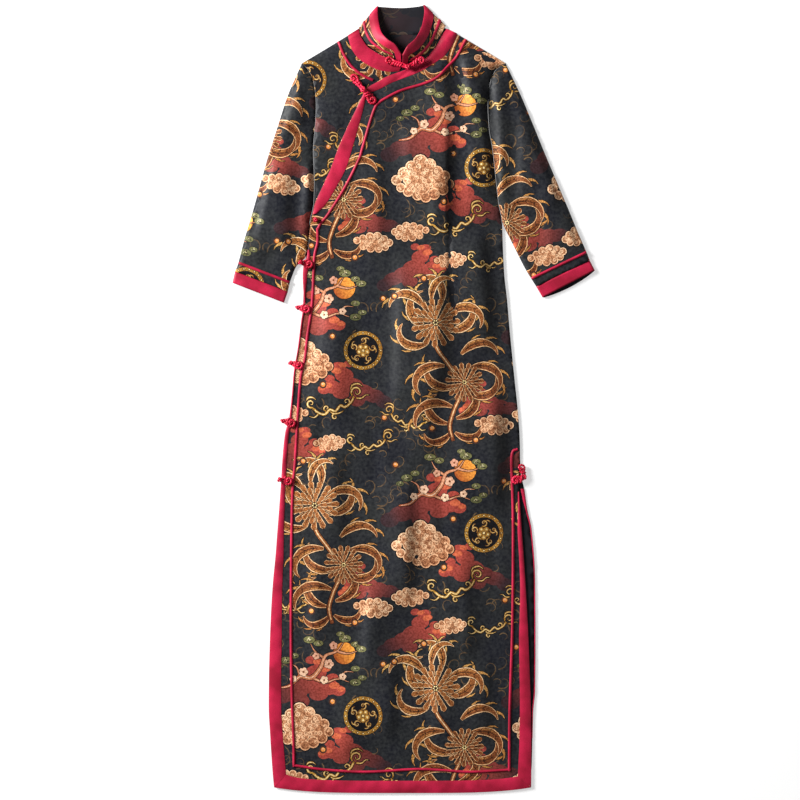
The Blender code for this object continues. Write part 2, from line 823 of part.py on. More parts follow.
def move_to_bottom_centre(collection):
    """Put the origin at the bottom centre of the garment's box."""
    bpy.context.view_layer.update()
    graph = bpy.context.evaluated_depsgraph_get()
    corners = []
    for thing in collection.objects:
        shown = thing.evaluated_get(graph)
        mesh = shown.to_mesh()
        corners += [shown.matrix_world @ vertex.co for vertex in mesh.vertices]
        shown.to_mesh_clear()
    lowest = [min(corner[i] for corner in corners) for i in range(3)]
    highest = [max(corner[i] for corner in corners) for i in range(3)]
    centre = Vector(((lowest[0] + highest[0]) / 2, (lowest[1] + highest[1]) / 2, lowest[2]))
    for thing in collection.objects:
        thing.location -= centre
    print("box, mm:", [round((high - low) / MM, 1) for low, high in zip(lowest, highest)])
    print("moved by, mm:", [round(-value / MM, 2) for value in centre])


def main():
    for thing in list(bpy.data.objects):
        bpy.data.objects.remove(thing)
    collection = bpy.data.collections.new("qipao")
    bpy.context.scene.collection.children.link(collection)
    materials = {
        "silk": make_material(*PRINTED_SILK),
        "satin": make_material(*SATIN),
        "cord": make_material(*SATIN_CORD),
    }
    silk = materials["silk"]
    satin = materials["satin"]

    make_panel("back_panel", BACK_ROWS, FLAT_SHARES, back_height, silk, collection)
    make_panel("under_front", YOKE_ROWS, FLAT_SHARES[::2] + (1,), yoke_height, silk, collection)
    make_panel("front_panel", FRONT_ROWS, PANEL_SHARES, front_height, silk, collection)
    cuff_lines = {
        "right": make_sleeve("right", RIGHT_SLEEVE_RINGS, -1, materials, collection),
        "left": make_sleeve("left", LEFT_SLEEVE_RINGS, 1, materials, collection),
    }
    make_collar(materials, collection)

    on_front = Carrier(["front_panel"])
    on_yoke = Carrier(["under_front"])
    on_back = Carrier(["back_panel"])
    lay_strip("neck_band", NECK_BAND, on_yoke, satin, collection)
    lay_strip("neck_piping", stations_along(NECK_PIPING, PIPING_WIDTH), on_yoke, satin, collection)
    lay_strip("opening_band", OPENING_BAND, on_front, satin, collection)
    side_stations = edge_stations(FRONT_ROWS, SIDE_BAND_WIDTHS, "left") + [SIDE_CORNER]
    slit_stations = edge_stations(FRONT_ROWS, SLIT_BAND_WIDTHS, "right") + [SLIT_CORNER]
    lay_strip("side_band", side_stations, on_front, satin, collection)
    lay_strip("hem_band", hem_stations(), on_front, satin, collection)
    lay_strip("slit_band", slit_stations, on_front, satin, collection)
    back_stations = edge_stations(BACK_ROWS, BACK_SLIT_WIDTHS, "right")
    lay_strip("back_slit_band", back_stations, on_back, satin, collection)
    for name, route in (
        ("opening_piping", OPENING_PIPING),
        ("side_piping", SIDE_PIPING),
        ("hem_piping", HEM_PIPING),
        ("slit_piping", SLIT_PIPING),
    ):
        lay_strip(name, stations_along(route, PIPING_WIDTH), on_front, satin, collection)
    for name, route in cuff_lines.items():
        on_sleeve = Carrier([f"sleeve_{name}"])
        lay_strip(f"cuff_piping_{name}", stations_along(route, PIPING_WIDTH), on_sleeve, satin, collection)

    made = [thing.name for thing in collection.objects]
    on_all = Carrier(made)
    knots = {knot.name: knot for knot in FROG_KNOTS}
    centres = {knot.name: make_knot(knot, on_all, materials["cord"], collection) for knot in FROG_KNOTS}
    for coil in FROG_COILS:
        radius = knots[coil.knot].radius
        make_coil(coil, centres[coil.knot], radius, on_all, materials["cord"], collection)

    move_to_bottom_centre(collection)


main()
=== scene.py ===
# %% [markdown]
# # A printed silk qipao, laid flat
#
# This lesson dresses the plain solids of a qipao: a long gown with a stand collar, a front that
# laps over to the wearer's right, knotted frogs and a side slit. The solids give the place and
# size of every cut piece. Here each piece is made again as thin cloth, with its print, its
# satin bindings, its folds and its corded frogs.
#
# All tables are in millimetres, in the maker's own frame: X runs from the centre front towards
# the wearer's left, Y runs up from the hem, and Z is the height above the table.

# %% The fixed frame
import math
import random
from collections import namedtuple

import bmesh
import bpy
import numpy as np
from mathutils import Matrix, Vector
from mathutils.bvhtree import BVHTree
from mathutils.geometry import delaunay_2d_cdt
from mathutils.kdtree import KDTree


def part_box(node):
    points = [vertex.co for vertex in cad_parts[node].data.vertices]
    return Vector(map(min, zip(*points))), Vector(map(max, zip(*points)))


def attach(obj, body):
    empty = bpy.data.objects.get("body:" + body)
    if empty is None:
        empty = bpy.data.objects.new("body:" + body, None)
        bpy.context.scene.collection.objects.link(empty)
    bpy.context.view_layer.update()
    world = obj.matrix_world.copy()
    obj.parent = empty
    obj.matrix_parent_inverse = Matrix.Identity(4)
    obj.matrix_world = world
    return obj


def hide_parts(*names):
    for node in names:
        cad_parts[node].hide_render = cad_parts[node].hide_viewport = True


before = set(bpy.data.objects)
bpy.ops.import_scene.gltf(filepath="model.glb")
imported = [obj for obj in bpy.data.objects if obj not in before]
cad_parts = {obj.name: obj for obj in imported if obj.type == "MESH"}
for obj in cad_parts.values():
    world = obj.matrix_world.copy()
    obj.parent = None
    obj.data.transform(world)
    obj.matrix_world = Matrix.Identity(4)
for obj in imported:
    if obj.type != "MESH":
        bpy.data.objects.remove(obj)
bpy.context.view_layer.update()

MM = 0.001

# %% [markdown]
# ## Camera, table and light
#
# The gown is seen straight from above. A long lens a few metres up keeps the collar and the hem
# at the same scale, as an orthographic camera would, and still lets the camera walk round the
# piece. The light is soft and white: one large panel to the upper left, which draws out folds
# that run down the gown, a weaker one to the right, and a bright plain sky.

# %% Camera
PICTURE_CENTRE = Vector((-23.2, -1.8, 0)) * MM
# The span that the picture shows at the table is in metres; sensor and lens are in millimetres
PICTURE_SPAN = 1.36
SENSOR = 36
LENS = 120
scene = bpy.context.scene
scene.view_settings.view_transform = "Standard"

eye = bpy.data.objects.new("camera", bpy.data.cameras.new("camera"))
scene.collection.objects.link(eye)
eye.data.lens = LENS
eye.data.sensor_width = SENSOR
eye.location = PICTURE_CENTRE + Vector((0, 0, PICTURE_SPAN * LENS / SENSOR))
scene.camera = eye
print("camera height, m:", round(eye.location.z, 2))

# %% [markdown]
# Colours are written as sRGB hex values, as a paint chart gives them. Shaders and colour
# attributes work in linear light, so one function turns them. Materials are built from nodes,
# and one small function adds a node with its settings, its fixed values and its links.

# %% Colour, node and material
def linear(hex_colour):
    srgb = np.array([int(hex_colour[i : i + 2], 16) / 255 for i in (1, 3, 5)])
    return np.where(srgb <= 0.04045, srgb / 12.92, ((srgb + 0.055) / 1.055) ** 2.4)


def add_node(tree, kind, settings=None, values=None, links=None, stops=()):
    """A shader node with its settings, fixed values, links and, for a ramp, its colour stops."""
    node = tree.nodes.new("ShaderNode" + kind)
    for key, value in (settings or {}).items():
        setattr(node, key, value)
    for key, value in (values or {}).items():
        node.inputs[key].default_value = value
    for key, (source, output) in (links or {}).items():
        tree.links.new(source.outputs[output], node.inputs[key])
    for i, (place, colour) in enumerate(stops):
        node.color_ramp.elements[i].position = place
        node.color_ramp.elements[i].color = (*linear(colour), 1)
    return node


def new_material(name, values):
    """A material, its node tree and its Principled shader, which gets some fixed values."""
    material = bpy.data.materials.new(name)
    material.use_nodes = True
    shader = material.node_tree.nodes["Principled BSDF"]
    for key, value in values.items():
        shader.inputs[key].default_value = value
    print("material:", name)
    return material, material.node_tree, shader

# %% Lights
# A light's place and size are in metres, and it faces the middle of the gown
Panel = namedtuple("Panel", "name place size watts")

PANELS = [
    Panel("key_light", (-3.3, 1.6, 1.65), 1.5, 455),
    Panel("fill_light", (1.9, 0.2, 1.9), 1.6, 9),
]
SKY = 0.16

for panel in PANELS:
    lamp = bpy.data.objects.new(panel.name, bpy.data.lights.new(panel.name, "AREA"))
    scene.collection.objects.link(lamp)
    lamp.data.shape = "SQUARE"
    lamp.data.size = panel.size
    lamp.data.energy = panel.watts
    lamp.location = panel.place
    lamp.rotation_euler = (-Vector(panel.place)).to_track_quat("-Z", "Y").to_euler()

world = bpy.data.worlds.new("soft sky")
world.use_nodes = True
world.node_tree.nodes["Background"].inputs["Color"].default_value = (1, 1, 1, 1)
world.node_tree.nodes["Background"].inputs["Strength"].default_value = SKY
scene.world = world
print("lights:", len(PANELS), "sky:", SKY)

# %% [markdown]
# The table is a sheet of white acrylic, cast smooth and rubbed matt, and lit from below as for a
# cut-out. Its own glow keeps the shadows on it faint. A light under a clear sheet would do the
# same, but a little emission in the paint is simpler and holds in every view.

# %% The lit white table
TABLE_SIZE = 9
TABLE_GLOW = 0.5

table_acrylic, tree, shader = new_material("lit white acrylic table", {
    "Emission Color": (1, 1, 1, 1), "Emission Strength": TABLE_GLOW, "Roughness": 0.85})
grain = add_node(tree, "TexNoise", values={"Scale": 3.0, "Detail": 3.0})
tone = add_node(tree, "ValToRGB", links={"Fac": (grain, "Fac")},
                stops=((0, "#bfbfbf"), (1, "#c3c3c2")))
tree.links.new(tone.outputs["Color"], shader.inputs["Base Color"])

bpy.ops.mesh.primitive_plane_add(size=TABLE_SIZE, location=(0, 0, 0))
table_top = bpy.context.object
table_top.name = "table_top"
table_top.data.materials.append(table_acrylic)
print("table, m:", TABLE_SIZE)

# %% [markdown]
# ## The cut pieces
#
# A paper pattern is a set of level measures: at each height, how far the left and right edges
# lie from the centre line. The rows below are those of the solids. A smooth curve is read
# through them, and a row marked as a corner keeps its corner.

# %% Rows of the panels
Row = namedtuple("Row", "y left right sag corner", defaults=(0, 0))

BACK_ROWS = [Row(*row) for row in (
    (1302, -72, 73, 9), (1289, -92, 98, 4), (1270, -123, 129), (1242, -170, 176, 0, 1),
    (1229, -158, 158), (1210, -150, 150), (1170, -146, 146), (1132, -148, 148), (1095, -151, 154),
    (1040, -149, 160), (1005, -150, 164), (972, -156.5, 170), (940, -158.7, 171), (914, -161, 172),
    (880, -166.3, 174), (799, -169.7, 182), (717, -181.6, 190), (636, -190, 198), (575, -200.3, 200.6),
    (545, -202, 202), (522, -203.5, 207), (483, -206, 212.8), (450, -209, 220), (364, -216.5, 226),
    (262, -221.5, 226.6), (177, -223.5, 226), (140, -223.5, 222.7), (50, -217, 220.5, 5),
    (15, -214, 217, 9),
)]

YOKE_ROWS = [Row(*row) for row in (
    (1300.5, -73, -72), (1289, -92, -70.4), (1270, -123, -58), (1255, -148, -33), (1242, -170, 0, 0, 1),
    (1229, -158, 28), (1210, -150, -13, 0, 1), (1170, -146, -45), (1132, -148, -63), (1095, -151, -79),
    (1040, -149, -101), (1005, -150, -117), (972, -156.5, -126),
)]

FRONT_ROWS = [Row(*row) for row in (
    (1300, 73.5, 79), (1277, 61, 118), (1253, 42.5, 158), (1242, 26, 176, 0, 1), (1229, 0, 158),
    (1220, -25.5, 153.8), (1210, -43, 150), (1199, -62, 148.9, 0, 1), (1187, -67.5, 147.7),
    (1170, -75.5, 146), (1132, -94, 148), (1095, -110, 154), (1065, -121, 157.3), (1040, -132, 160),
    (1005, -148.2, 164), (985, -152.6, 167.6), (972, -155, 170), (940, -158.7, 171), (914, -161, 172),
    (895, -167.5, 173), (880, -168.3, 174), (840, -166.8, 178.5), (799, -171.7, 182),
    (758, -176.8, 185.5), (717, -183.6, 190), (677, -187, 194), (636, -192, 198), (615, -198, 199.5),
    (575, -202.3, 200.6), (524, -205.5, 198.5), (483, -208.5, 200.8), (445, -211.5, 203.3),
    (405, -214.5, 206.3), (364, -218.5, 209), (320, -221.5, 211.5), (262, -224, 214.3),
    (205, -225.5, 216.5), (150, -226, 218.3), (100, -223.5, 219, 3), (60, -221, 219.3, 6),
    (33, -219, 219.3, 8.5), (12, -217, 219, 9.5),
)]

ARMHOLE_TOP = 1242
ARMHOLE_BOTTOM = 972

# From the maker's frame to the shared one, by the lowest corner of the front in each
front_low = Vector(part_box("front_panel")[0]) / MM
SHIFT = Vector((
    front_low.x - min(row.left for row in FRONT_ROWS),
    front_low.y - (FRONT_ROWS[-1].y - FRONT_ROWS[-1].sag),
    0,
))
print("maker's frame to shared frame, mm:", [round(v, 2) for v in SHIFT])

# %% [markdown]
# A cubic that never overshoots its rows keeps a side seam as calm as a curve drawn with a
# tailor's rule. At a corner the curve arrives and leaves along straight lines.

# %% Smooth edges through the rows
def smooth(share):
    share = np.clip(share, 0, 1)
    return share * share * (3 - 2 * share)


def read_through(places, values, corners, at):
    """Values at places on a smooth curve through rows, which keeps its corners."""
    steps = np.diff(values) / np.diff(places)
    before = np.concatenate([steps[:1], steps])
    after = np.concatenate([steps, steps[-1:]])
    total = np.where(before + after == 0, 1, before + after)
    even = np.where(before * after > 0, 2 * before * after / total, 0)
    arrive = np.where(corners, before, even)
    leave = np.where(corners, after, even)
    i = np.clip(np.searchsorted(places, at) - 1, 0, len(places) - 2)
    width = places[i + 1] - places[i]
    t = np.clip((at - places[i]) / width, 0, 1)
    start = (1 + 2 * t) * (1 - t) ** 2 * values[i] + t * (1 - t) ** 2 * width * leave[i]
    return start + t * t * (3 - 2 * t) * values[i + 1] + t * t * (t - 1) * width * arrive[i + 1]


def along_curve(a, b, c, d, t):
    """A place between b and c on a smooth curve through all four, at a share t of the way."""
    return b + 0.5 * t * (c - a + t * (2 * a - 5 * b + 4 * c - d + t * (3 * (b - c) + d - a)))


def edge_of(rows, side):
    """A function of height that gives one edge of a panel."""
    upwards = rows[::-1]
    places = np.array([row.y for row in upwards], float)
    values = np.array([getattr(row, side) for row in upwards], float)
    corners = np.array([bool(row.corner) for row in upwards])
    return lambda y: read_through(places, values, corners, np.asarray(y, float))


front_left = edge_of(FRONT_ROWS, "left")
front_right = edge_of(FRONT_ROWS, "right")
yoke_left = edge_of(YOKE_ROWS, "left")
yoke_right = edge_of(YOKE_ROWS, "right")
plain_back_left = edge_of(BACK_ROWS, "left")
back_right = edge_of(BACK_ROWS, "right")
print("waist of the front, mm:", round(float(front_right(880) - front_left(880)), 1))


def back_left(y):
    """The back's right side slips a little under the roll of the sleeve at the armpit."""
    return plain_back_left(y) - 1.8 * smooth((968 - y) / 10) * smooth((y - 872) / 20)

# %% Outlines of the panels
EDGE_STEP = 4
NECK_STEPS = 30
# Half of the gap that stands for a sewn seam
SEAM_HALF = 0.3


def sagging(share):
    """How far a rim hangs between its two corners: 0 at both, 1 in the middle, flat between."""
    return 1 - (2 * share - 1) ** 4


def panel_outline(rows, left, right):
    """The closed outline of a panel, a little inside its armhole seams."""
    top, bottom = rows[0], rows[-1]
    runs = [
        np.linspace(a.y, b.y, max(2, round((a.y - b.y) / EDGE_STEP) + 1))[:-1]
        for a, b in zip(rows, rows[1:])
    ]
    heights = np.concatenate(runs + [[bottom.y]])
    inset = np.where((heights <= ARMHOLE_TOP) & (heights >= ARMHOLE_BOTTOM), SEAM_HALF, 0)
    left_side = np.stack([left(heights) + inset, heights], 1)
    right_side = np.stack([right(heights) - inset, heights], 1)
    if top.sag:
        left_side = left_side[1:]
    shares = np.linspace(0, 1, round((bottom.right - bottom.left) / EDGE_STEP))[1:-1]
    hem_x = bottom.left + (bottom.right - bottom.left) * shares
    hem = np.stack([hem_x, bottom.y - bottom.sag * sagging(shares)], 1)
    closing = []
    if top.sag:
        shares = np.linspace(1, 0, NECK_STEPS)
        neck_x = top.right + (top.left - top.right) * (1 - shares)
        closing = [np.stack([neck_x, top.y - top.sag * sagging(shares)], 1)]
        right_side = right_side[1:]
    return np.concatenate([left_side, hem, right_side[::-1]] + closing)


front_outline = panel_outline(FRONT_ROWS, front_left, front_right)
yoke_outline = panel_outline(YOKE_ROWS, yoke_left, yoke_right)
back_outline = panel_outline(BACK_ROWS, back_left, back_right)
print("outline points:", len(front_outline), len(yoke_outline), len(back_outline))

# %% [markdown]
# ## The print
#
# A roller or a screen lays one ink at a time on the charcoal silk, so the print has hard edges.
# An image could carry it, but here every motif is drawn as outlines in real millimetres, the
# cloth is triangulated along those outlines, and each triangle is given its ink. The edges stay
# sharp at any distance, and no picture is needed. The motifs are old, common ones, drawn fresh:
# bubbling clouds, scrolled clouds, flower roundels, chrysanthemums with curled plumes, blossoming
# boughs, suns, pearls and drifting mist.

# %% Inks
# An ink runs from its near to its far colour across a motif, along (x, y) over a span in mm.
Ink = namedtuple("Ink", "near far x y span", defaults=(1, 0, 100))

INKS = {
    "outline": Ink("#141317", "#17161a"),
    "cloud": Ink("#ecb083", "#b6764f", 0.6, -0.8, 90),
    "cloud rim": Ink("#ffdab2", "#e0a67a", 0.6, -0.8, 90),
    "cloud line": Ink("#84491f", "#5c311d", 0.6, -0.8, 90),
    "gold": Ink("#d2a248", "#b07c30", 1, 0.2, 110),
    "gold light": Ink("#f6e3aa", "#e4c480", 1, 0.2, 110),
    "umber": Ink("#6a4426", "#4c2f1c"),
    "plume": Ink("#bd7a42", "#84492a", 0.5, -0.9, 260),
    "plume rim": Ink("#fbdcae", "#e3ad78", 0.5, -0.9, 260),
    "plume line": Ink("#27160f", "#1d1110", 0.5, -0.9, 260),
    "plume light": Ink("#e6b56a", "#c98a48", 0.5, -0.9, 260),
    "plume deep": Ink("#8a4c28", "#6b3620", 0.5, -0.9, 260),
    "rust": Ink("#38272b", "#b54d40", 0.85, 0.55, 110),
    "rust light": Ink("#8c3b34", "#d26a48", 0.9, 0.4, 90),
    "sun": Ink("#a85428", "#ffab48", 0.8, 0.5, 34),
    "halo": Ink("#4a2f26", "#4a2f26"),
    "pearl": Ink("#de8438", "#f2ad60", 1, 1, 9),
    "bough": Ink("#a95c3a", "#dc9a70", 0.6, 0.8, 120),
    "leaf": Ink("#4c5033", "#74744a", 0.3, 1, 60),
    "leaf light": Ink("#a5a377", "#c9c093", 0.3, 1, 60),
    "blossom": Ink("#f0cfae", "#d99f83", 0, 1, 60),
    "wisp": Ink("#786042", "#4c4034", 1, 0, 60),
}
GROUND = linear("#2b2c32")
# These inks are broken up by a net of fine dark lines, which the shader draws
SCALY_INKS = {"plume", "plume light", "cloud", "gold"}
SCALY = 0.5

# A patch is a closed outline, its ink, and the plane that says how far its ink has run
Patch = namedtuple("Patch", "points ink run")


def patch(points, ink):
    """An outline with its ink. The ink's run starts at the motif's own middle."""
    return Patch(points, ink, np.array([INKS[ink].x, INKS[ink].y, 0]) / INKS[ink].span)


def turning(degrees):
    c, s = math.cos(math.radians(degrees)), math.sin(math.radians(degrees))
    return np.array([[c, -s], [s, c]])


def place_motif(patches, x, y, size=1.0, turn=0.0, mirror=False):
    """A motif's patches, sized, turned by degrees and set down on the cloth."""
    grid = turning(turn) * size @ np.diag([-1 if mirror else 1, 1])
    back = np.linalg.inv(grid)
    placed = []
    for points, ink, run in patches:
        plane = run[:2] @ back
        placed.append(Patch(points @ grid.T + (x, y), ink, np.array([*plane, run[2] - plane @ (x, y)])))
    return placed


print("inks:", len(INKS))

# %% [markdown]
# Two shapes make almost everything: a disc, and a brush stroke that swells and tapers along a
# path. Every stroke is laid three times, as a painter of patterns would: a dark line round it,
# the body, and a light line inside.

# %% Discs and brush strokes
BRUSH = ((0, 0.25), (0.3, 1), (0.7, 0.8), (1, 0.12))
EVEN = ((0, 0.8), (0.1, 1), (0.9, 1), (1, 0.8))
TAIL = ((0, 0.5), (0.12, 1), (1, 0.1))


def round_from(x, y, radius, angle):
    return x + radius * math.cos(angle), y + radius * math.sin(angle)


def disc(x, y, radius, sides=14, flat=1.0):
    angles = np.arange(sides) * 2 * math.pi / sides
    return np.stack([x + radius * np.cos(angles), y + radius * flat * np.sin(angles)], 1)


def through(points, steps=5):
    """A smooth path through a few points."""
    points = np.asarray(points, float)
    ends = np.concatenate([[2 * points[0] - points[1]], points, [2 * points[-1] - points[-2]]])
    path = []
    for a, b, c, d in zip(ends, ends[1:], ends[2:], ends[3:]):
        t = np.linspace(0, 1, steps, endpoint=False)[:, None]
        path.append(along_curve(a, b, c, d, t))
    return np.concatenate(path + [points[-1:]])


def spiral(x, y, radius, turns, start, hand=1, steps=12, eye=0.12):
    """A path from the outside of a curl to its eye. start is in degrees."""
    u = np.linspace(0, 1, steps)
    reach = radius * (eye + (1 - eye) * (1 - u))
    angle = math.radians(start) + hand * 2 * math.pi * turns * u
    return np.stack([x + reach * np.cos(angle), y + reach * np.sin(angle)], 1)


def beside(run):
    """The directions at right angles to a path's own, to its left."""
    return np.stack([-run[:, 1], run[:, 0]], 1)


def stroke(path, width, swell=BRUSH, grow=0.0):
    """A brush stroke along a path. grow makes it wider all round."""
    run = np.gradient(path, axis=0)
    run /= np.maximum(np.linalg.norm(run, axis=1, keepdims=True), 1e-9)
    aside = beside(run)
    share = np.linspace(0, 1, len(path))
    half = (width * np.interp(share, *zip(*swell)) / 2 + grow)[:, None]
    tips = path[0] - run[0] * grow, path[-1] + run[-1] * grow
    return np.concatenate([path + aside * half, tips[1:], (path - aside * half)[::-1], tips[:1]])


def lined_stroke(path, width, inks, swell=BRUSH, rim=1.1, light=0.3):
    """A stroke's dark line, body and light line, as three layers."""
    dark, body, shine = inks
    layers = [patch(stroke(path, width, swell, rim), dark), patch(stroke(path, width, swell), body)]
    if shine:
        inner = path[1:-1]
        layers.append(patch(stroke(inner, width * light, swell), shine))
    return layers


def in_layers(strokes):
    """Puts the dark lines of many strokes under all their bodies, and the light lines on top."""
    return [layer for level in range(3) for layers in strokes for layer in layers[level : level + 1]]


print("points round a plain stroke:", len(stroke(through([(0, 0), (30, 8), (60, 0)]), 6)))

# %% [markdown]
# A bubbling cloud is a heap of round lobes. Each lobe has a dark line, a pale rim and a warm
# body, and the heap is filled with small scales that curl, from the top down so that the lower
# ones lie over the upper ones.

# %% Clouds
Lobe = namedtuple("Lobe", "x y radius")

BIG_CLOUD = [Lobe(*row) for row in (
    (-2, 30, 12), (-16, 22, 10), (13, 25, 10.5), (-28, 12, 10), (25, 14, 9.5), (-40, 1, 8.5),
    (37, 7, 9), (45, -5, 7.5), (-33, -11, 7.5), (34, -15, 9), (-21, -17, 9), (20, -22, 9.5),
    (-6, -23, 9), (7, -27, 8.5), (-17, 5, 14), (0, 12, 16), (16, 2, 15), (28, -4, 12), (0, -8, 15),
    (-14, -7, 12),
)]
LONG_CLOUD = [Lobe(*row) for row in (
    (-29, 3, 7.5), (-19, 9, 7.5), (-6, 13, 8.5), (8, 12, 8), (21, 8, 7), (32, 3, 7), (-22, -6, 7),
    (-10, -10, 7.5), (5, -10, 8), (19, -7, 7.5), (-12, 0, 10), (3, 2, 11), (17, 1, 9),
)]
# The small scales inside a cloud, in mm
SCALE = 7.8


def cloud(lobes, rng):
    """A heap of lobes with scales. The first two thirds of the lobes are its border."""
    border = lobes[: len(lobes) * 2 // 3 + 1]
    layers = [patch(disc(*lobe[:2], lobe.radius + 1.7, 12), "outline") for lobe in border]
    layers += [patch(disc(*lobe, 12), "cloud rim") for lobe in lobes]
    layers += [patch(disc(*lobe[:2], lobe.radius - 1.6, 11), "cloud") for lobe in lobes]
    top = max(lobe.y + lobe.radius for lobe in lobes)
    wide = max(abs(lobe.x) + lobe.radius for lobe in lobes)
    for row in range(int(2 * top / SCALE) + 2):
        for column in range(-int(wide / SCALE), int(wide / SCALE) + 1):
            x = (column + (row % 2) / 2) * SCALE + rng.uniform(-1, 1)
            y = top - row * SCALE * 0.8 + rng.uniform(-0.8, 0.8)
            depth = max(lobe.radius - math.dist((x, y), lobe[:2]) for lobe in lobes)
            if depth < 3.5:
                continue
            radius = SCALE * rng.uniform(0.4, 0.54)
            layers.append(patch(disc(x, y, radius, 8), rng.choice(("cloud", "cloud rim", "cloud rim"))))
            curl = spiral(x, y, radius * 0.66, 0.95, rng.uniform(0, 360), 1, 6, 0.3)
            layers.append(patch(stroke(curl, 1.3), "cloud line"))
    for lobe in border:
        arc = spiral(*lobe[:2], lobe.radius - 2.4, 0.55, rng.uniform(60, 200), 1, 6, 0.7)
        layers.append(patch(stroke(arc, 1.3), "cloud line"))
    return layers


def scroll_cloud():
    """A thin cloud of gold curls strung on a wavy line."""
    main = through([(34, 12), (28, 2), (16, -6), (8, -2), (-2, -12), (-12, -8), (-22, -16), (-34, -12),
                    (-43, -3)], 3)
    lines = [
        (main, 3.6, EVEN),
        (spiral(40, 20, 11, 1.25, 215, -1, 15), 3.6, TAIL),
        (spiral(-46, 6, 8.5, 1.2, -70, -1, 14), 3.4, TAIL),
        (spiral(20, 4, 6.5, 1.1, -60, 1, 11), 2.8, TAIL),
        (spiral(-18, -5, 6, 1.1, -110, -1, 11), 2.8, TAIL),
        (spiral(-4, -22, 6, 1.1, 80, 1, 11), 2.8, TAIL),
        (through([(38, 9), (48, 8), (56, 13), (63, 12)]), 3, TAIL),
        (through([(-33, -14), (-42, -20), (-52, -17)]), 2.8, TAIL),
        (through([(29, 25), (33, 33), (44, 35), (52, 29)]), 3, BRUSH),
        (through([(-54, 12), (-50, 17), (-42, 17), (-36, 12)]), 2.8, BRUSH),
        (through([(-12, -12), (-6, -16), (4, -16), (14, -12)]), 2.6, BRUSH),
    ]
    inks = ("outline", "gold", "gold light")
    return in_layers([
        lined_stroke(path, width * 1.25, inks, swell, 1.5, 0.36) for path, width, swell in lines])


print("lobes of the clouds:", len(BIG_CLOUD), len(LONG_CLOUD))

# %% [markdown]
# The great motif of the cloth is a pair of chrysanthemums in a wreath of curled plumes, all in
# gold, copper and brown with cream edges. Petals stand in rings, and a plume is a stroke that
# bends more and more towards its tip, with veins along it.

# %% Chrysanthemums and plumes
Ring = namedtuple("Ring", "reach petals length width")

FLOWER_RINGS = [Ring(39, 15, 21, 11), Ring(29, 12, 17, 10.5), Ring(20, 9, 13, 9.5), Ring(11.5, 6, 10, 8)]
PETAL = ((0, 0.35), (0.55, 1), (0.85, 0.8), (1, 0.25))


def petal(x, y, angle, ring, size):
    towards = np.array([math.cos(angle), math.sin(angle)])
    root = np.array([x, y]) + towards * (ring.reach - ring.length) * size
    tip = np.array([x, y]) + towards * ring.reach * size
    spine = root + (tip - root) * np.array([[0], [0.5], [0.82], [1]])
    layers = [
        patch(stroke(spine, ring.width * size, PETAL, 0.8), "plume line"),
        patch(stroke(spine, ring.width * size - 0.6, PETAL), "plume rim"),
        patch(stroke(spine, ring.width * size - 2.6, PETAL), "plume"),
    ]
    if ring.reach > 25:
        layers.append(patch(stroke(spine[:3], 1.6, TAIL), "plume line"))
    return layers


def flower(x, y, size):
    layers = []
    for number, ring in enumerate(FLOWER_RINGS):
        for i in range(ring.petals):
            layers += petal(x, y, 2 * math.pi * (i + number / 2) / ring.petals, ring, size)
    layers.append(patch(disc(x, y, 5.5 * size, 10), "plume line"))
    for i in range(6):
        dot = round_from(x, y, 3.2 * size, 2 * math.pi * i / 6)
        layers.append(patch(disc(*dot, 1.3, 6), "gold light"))
    return layers


def plume_path(x, y, heading, length, bend, steps=12):
    """A path that sets out along its heading, in degrees, and bends ever more."""
    u = np.linspace(0, 1, steps)
    angle = np.radians(heading) + np.radians(bend) * u ** 1.6
    step = length / (steps - 1)
    offsets = np.cumsum(np.stack([np.cos(angle), np.sin(angle)], 1) * step, axis=0)
    return np.array([x, y]) + offsets - offsets[0]


LEAF = ((0, 0.3), (0.25, 0.9), (0.45, 1), (0.8, 0.5), (1, 0.08))


def plume(x, y, heading, length, bend, width):
    """A curled plume with tongues along its outer side."""
    spine = plume_path(x, y, heading, length, bend)
    run = np.diff(spine, axis=0)
    hand = -1 if bend > 0 else 1
    tongues = []
    for i, reach in ((3, 0.34), (6, 0.36), (9, 0.3)):
        away = math.degrees(math.atan2(run[i][1], run[i][0])) + hand * 58
        tongue = plume_path(*spine[i], away, length * reach, -hand * 70, 5)
        tongues.append(lined_stroke(tongue, width * 0.42, ("outline", "plume light", None), TAIL, 1.1))
    layers = in_layers(tongues) + [
        patch(stroke(spine, width, LEAF, 1.5), "outline"),
        patch(stroke(spine, width, LEAF, 0.4), "plume rim"),
        patch(stroke(spine, width - 2.2, LEAF), "plume"),
    ]
    aside = beside(run) / np.linalg.norm(run, axis=1, keepdims=True)
    swell = np.interp(np.linspace(0, 1, len(run)), *zip(*LEAF))[:, None] * width
    layers.append(patch(stroke(spine[1:-3], 1.7, TAIL), "plume line"))
    for share, ink in ((-0.27, "plume deep"), (0.27, "plume light")):
        layers.append(patch(stroke((spine[:-1] + aside * share * swell)[2:-4], 1.5, BRUSH), ink))
    for i in (2, 4, 6):
        for side in (1, -1):
            tip = spine[i] + side * aside[i] * swell[i] * 0.42 + run[i] * 0.8
            layers.append(patch(stroke(np.linspace(spine[i], tip, 2), 1.2, EVEN), "plume line"))
    return layers


# The plumes: where each springs, its heading, length, bend and width
Plume = namedtuple("Plume", "x y heading length bend width")

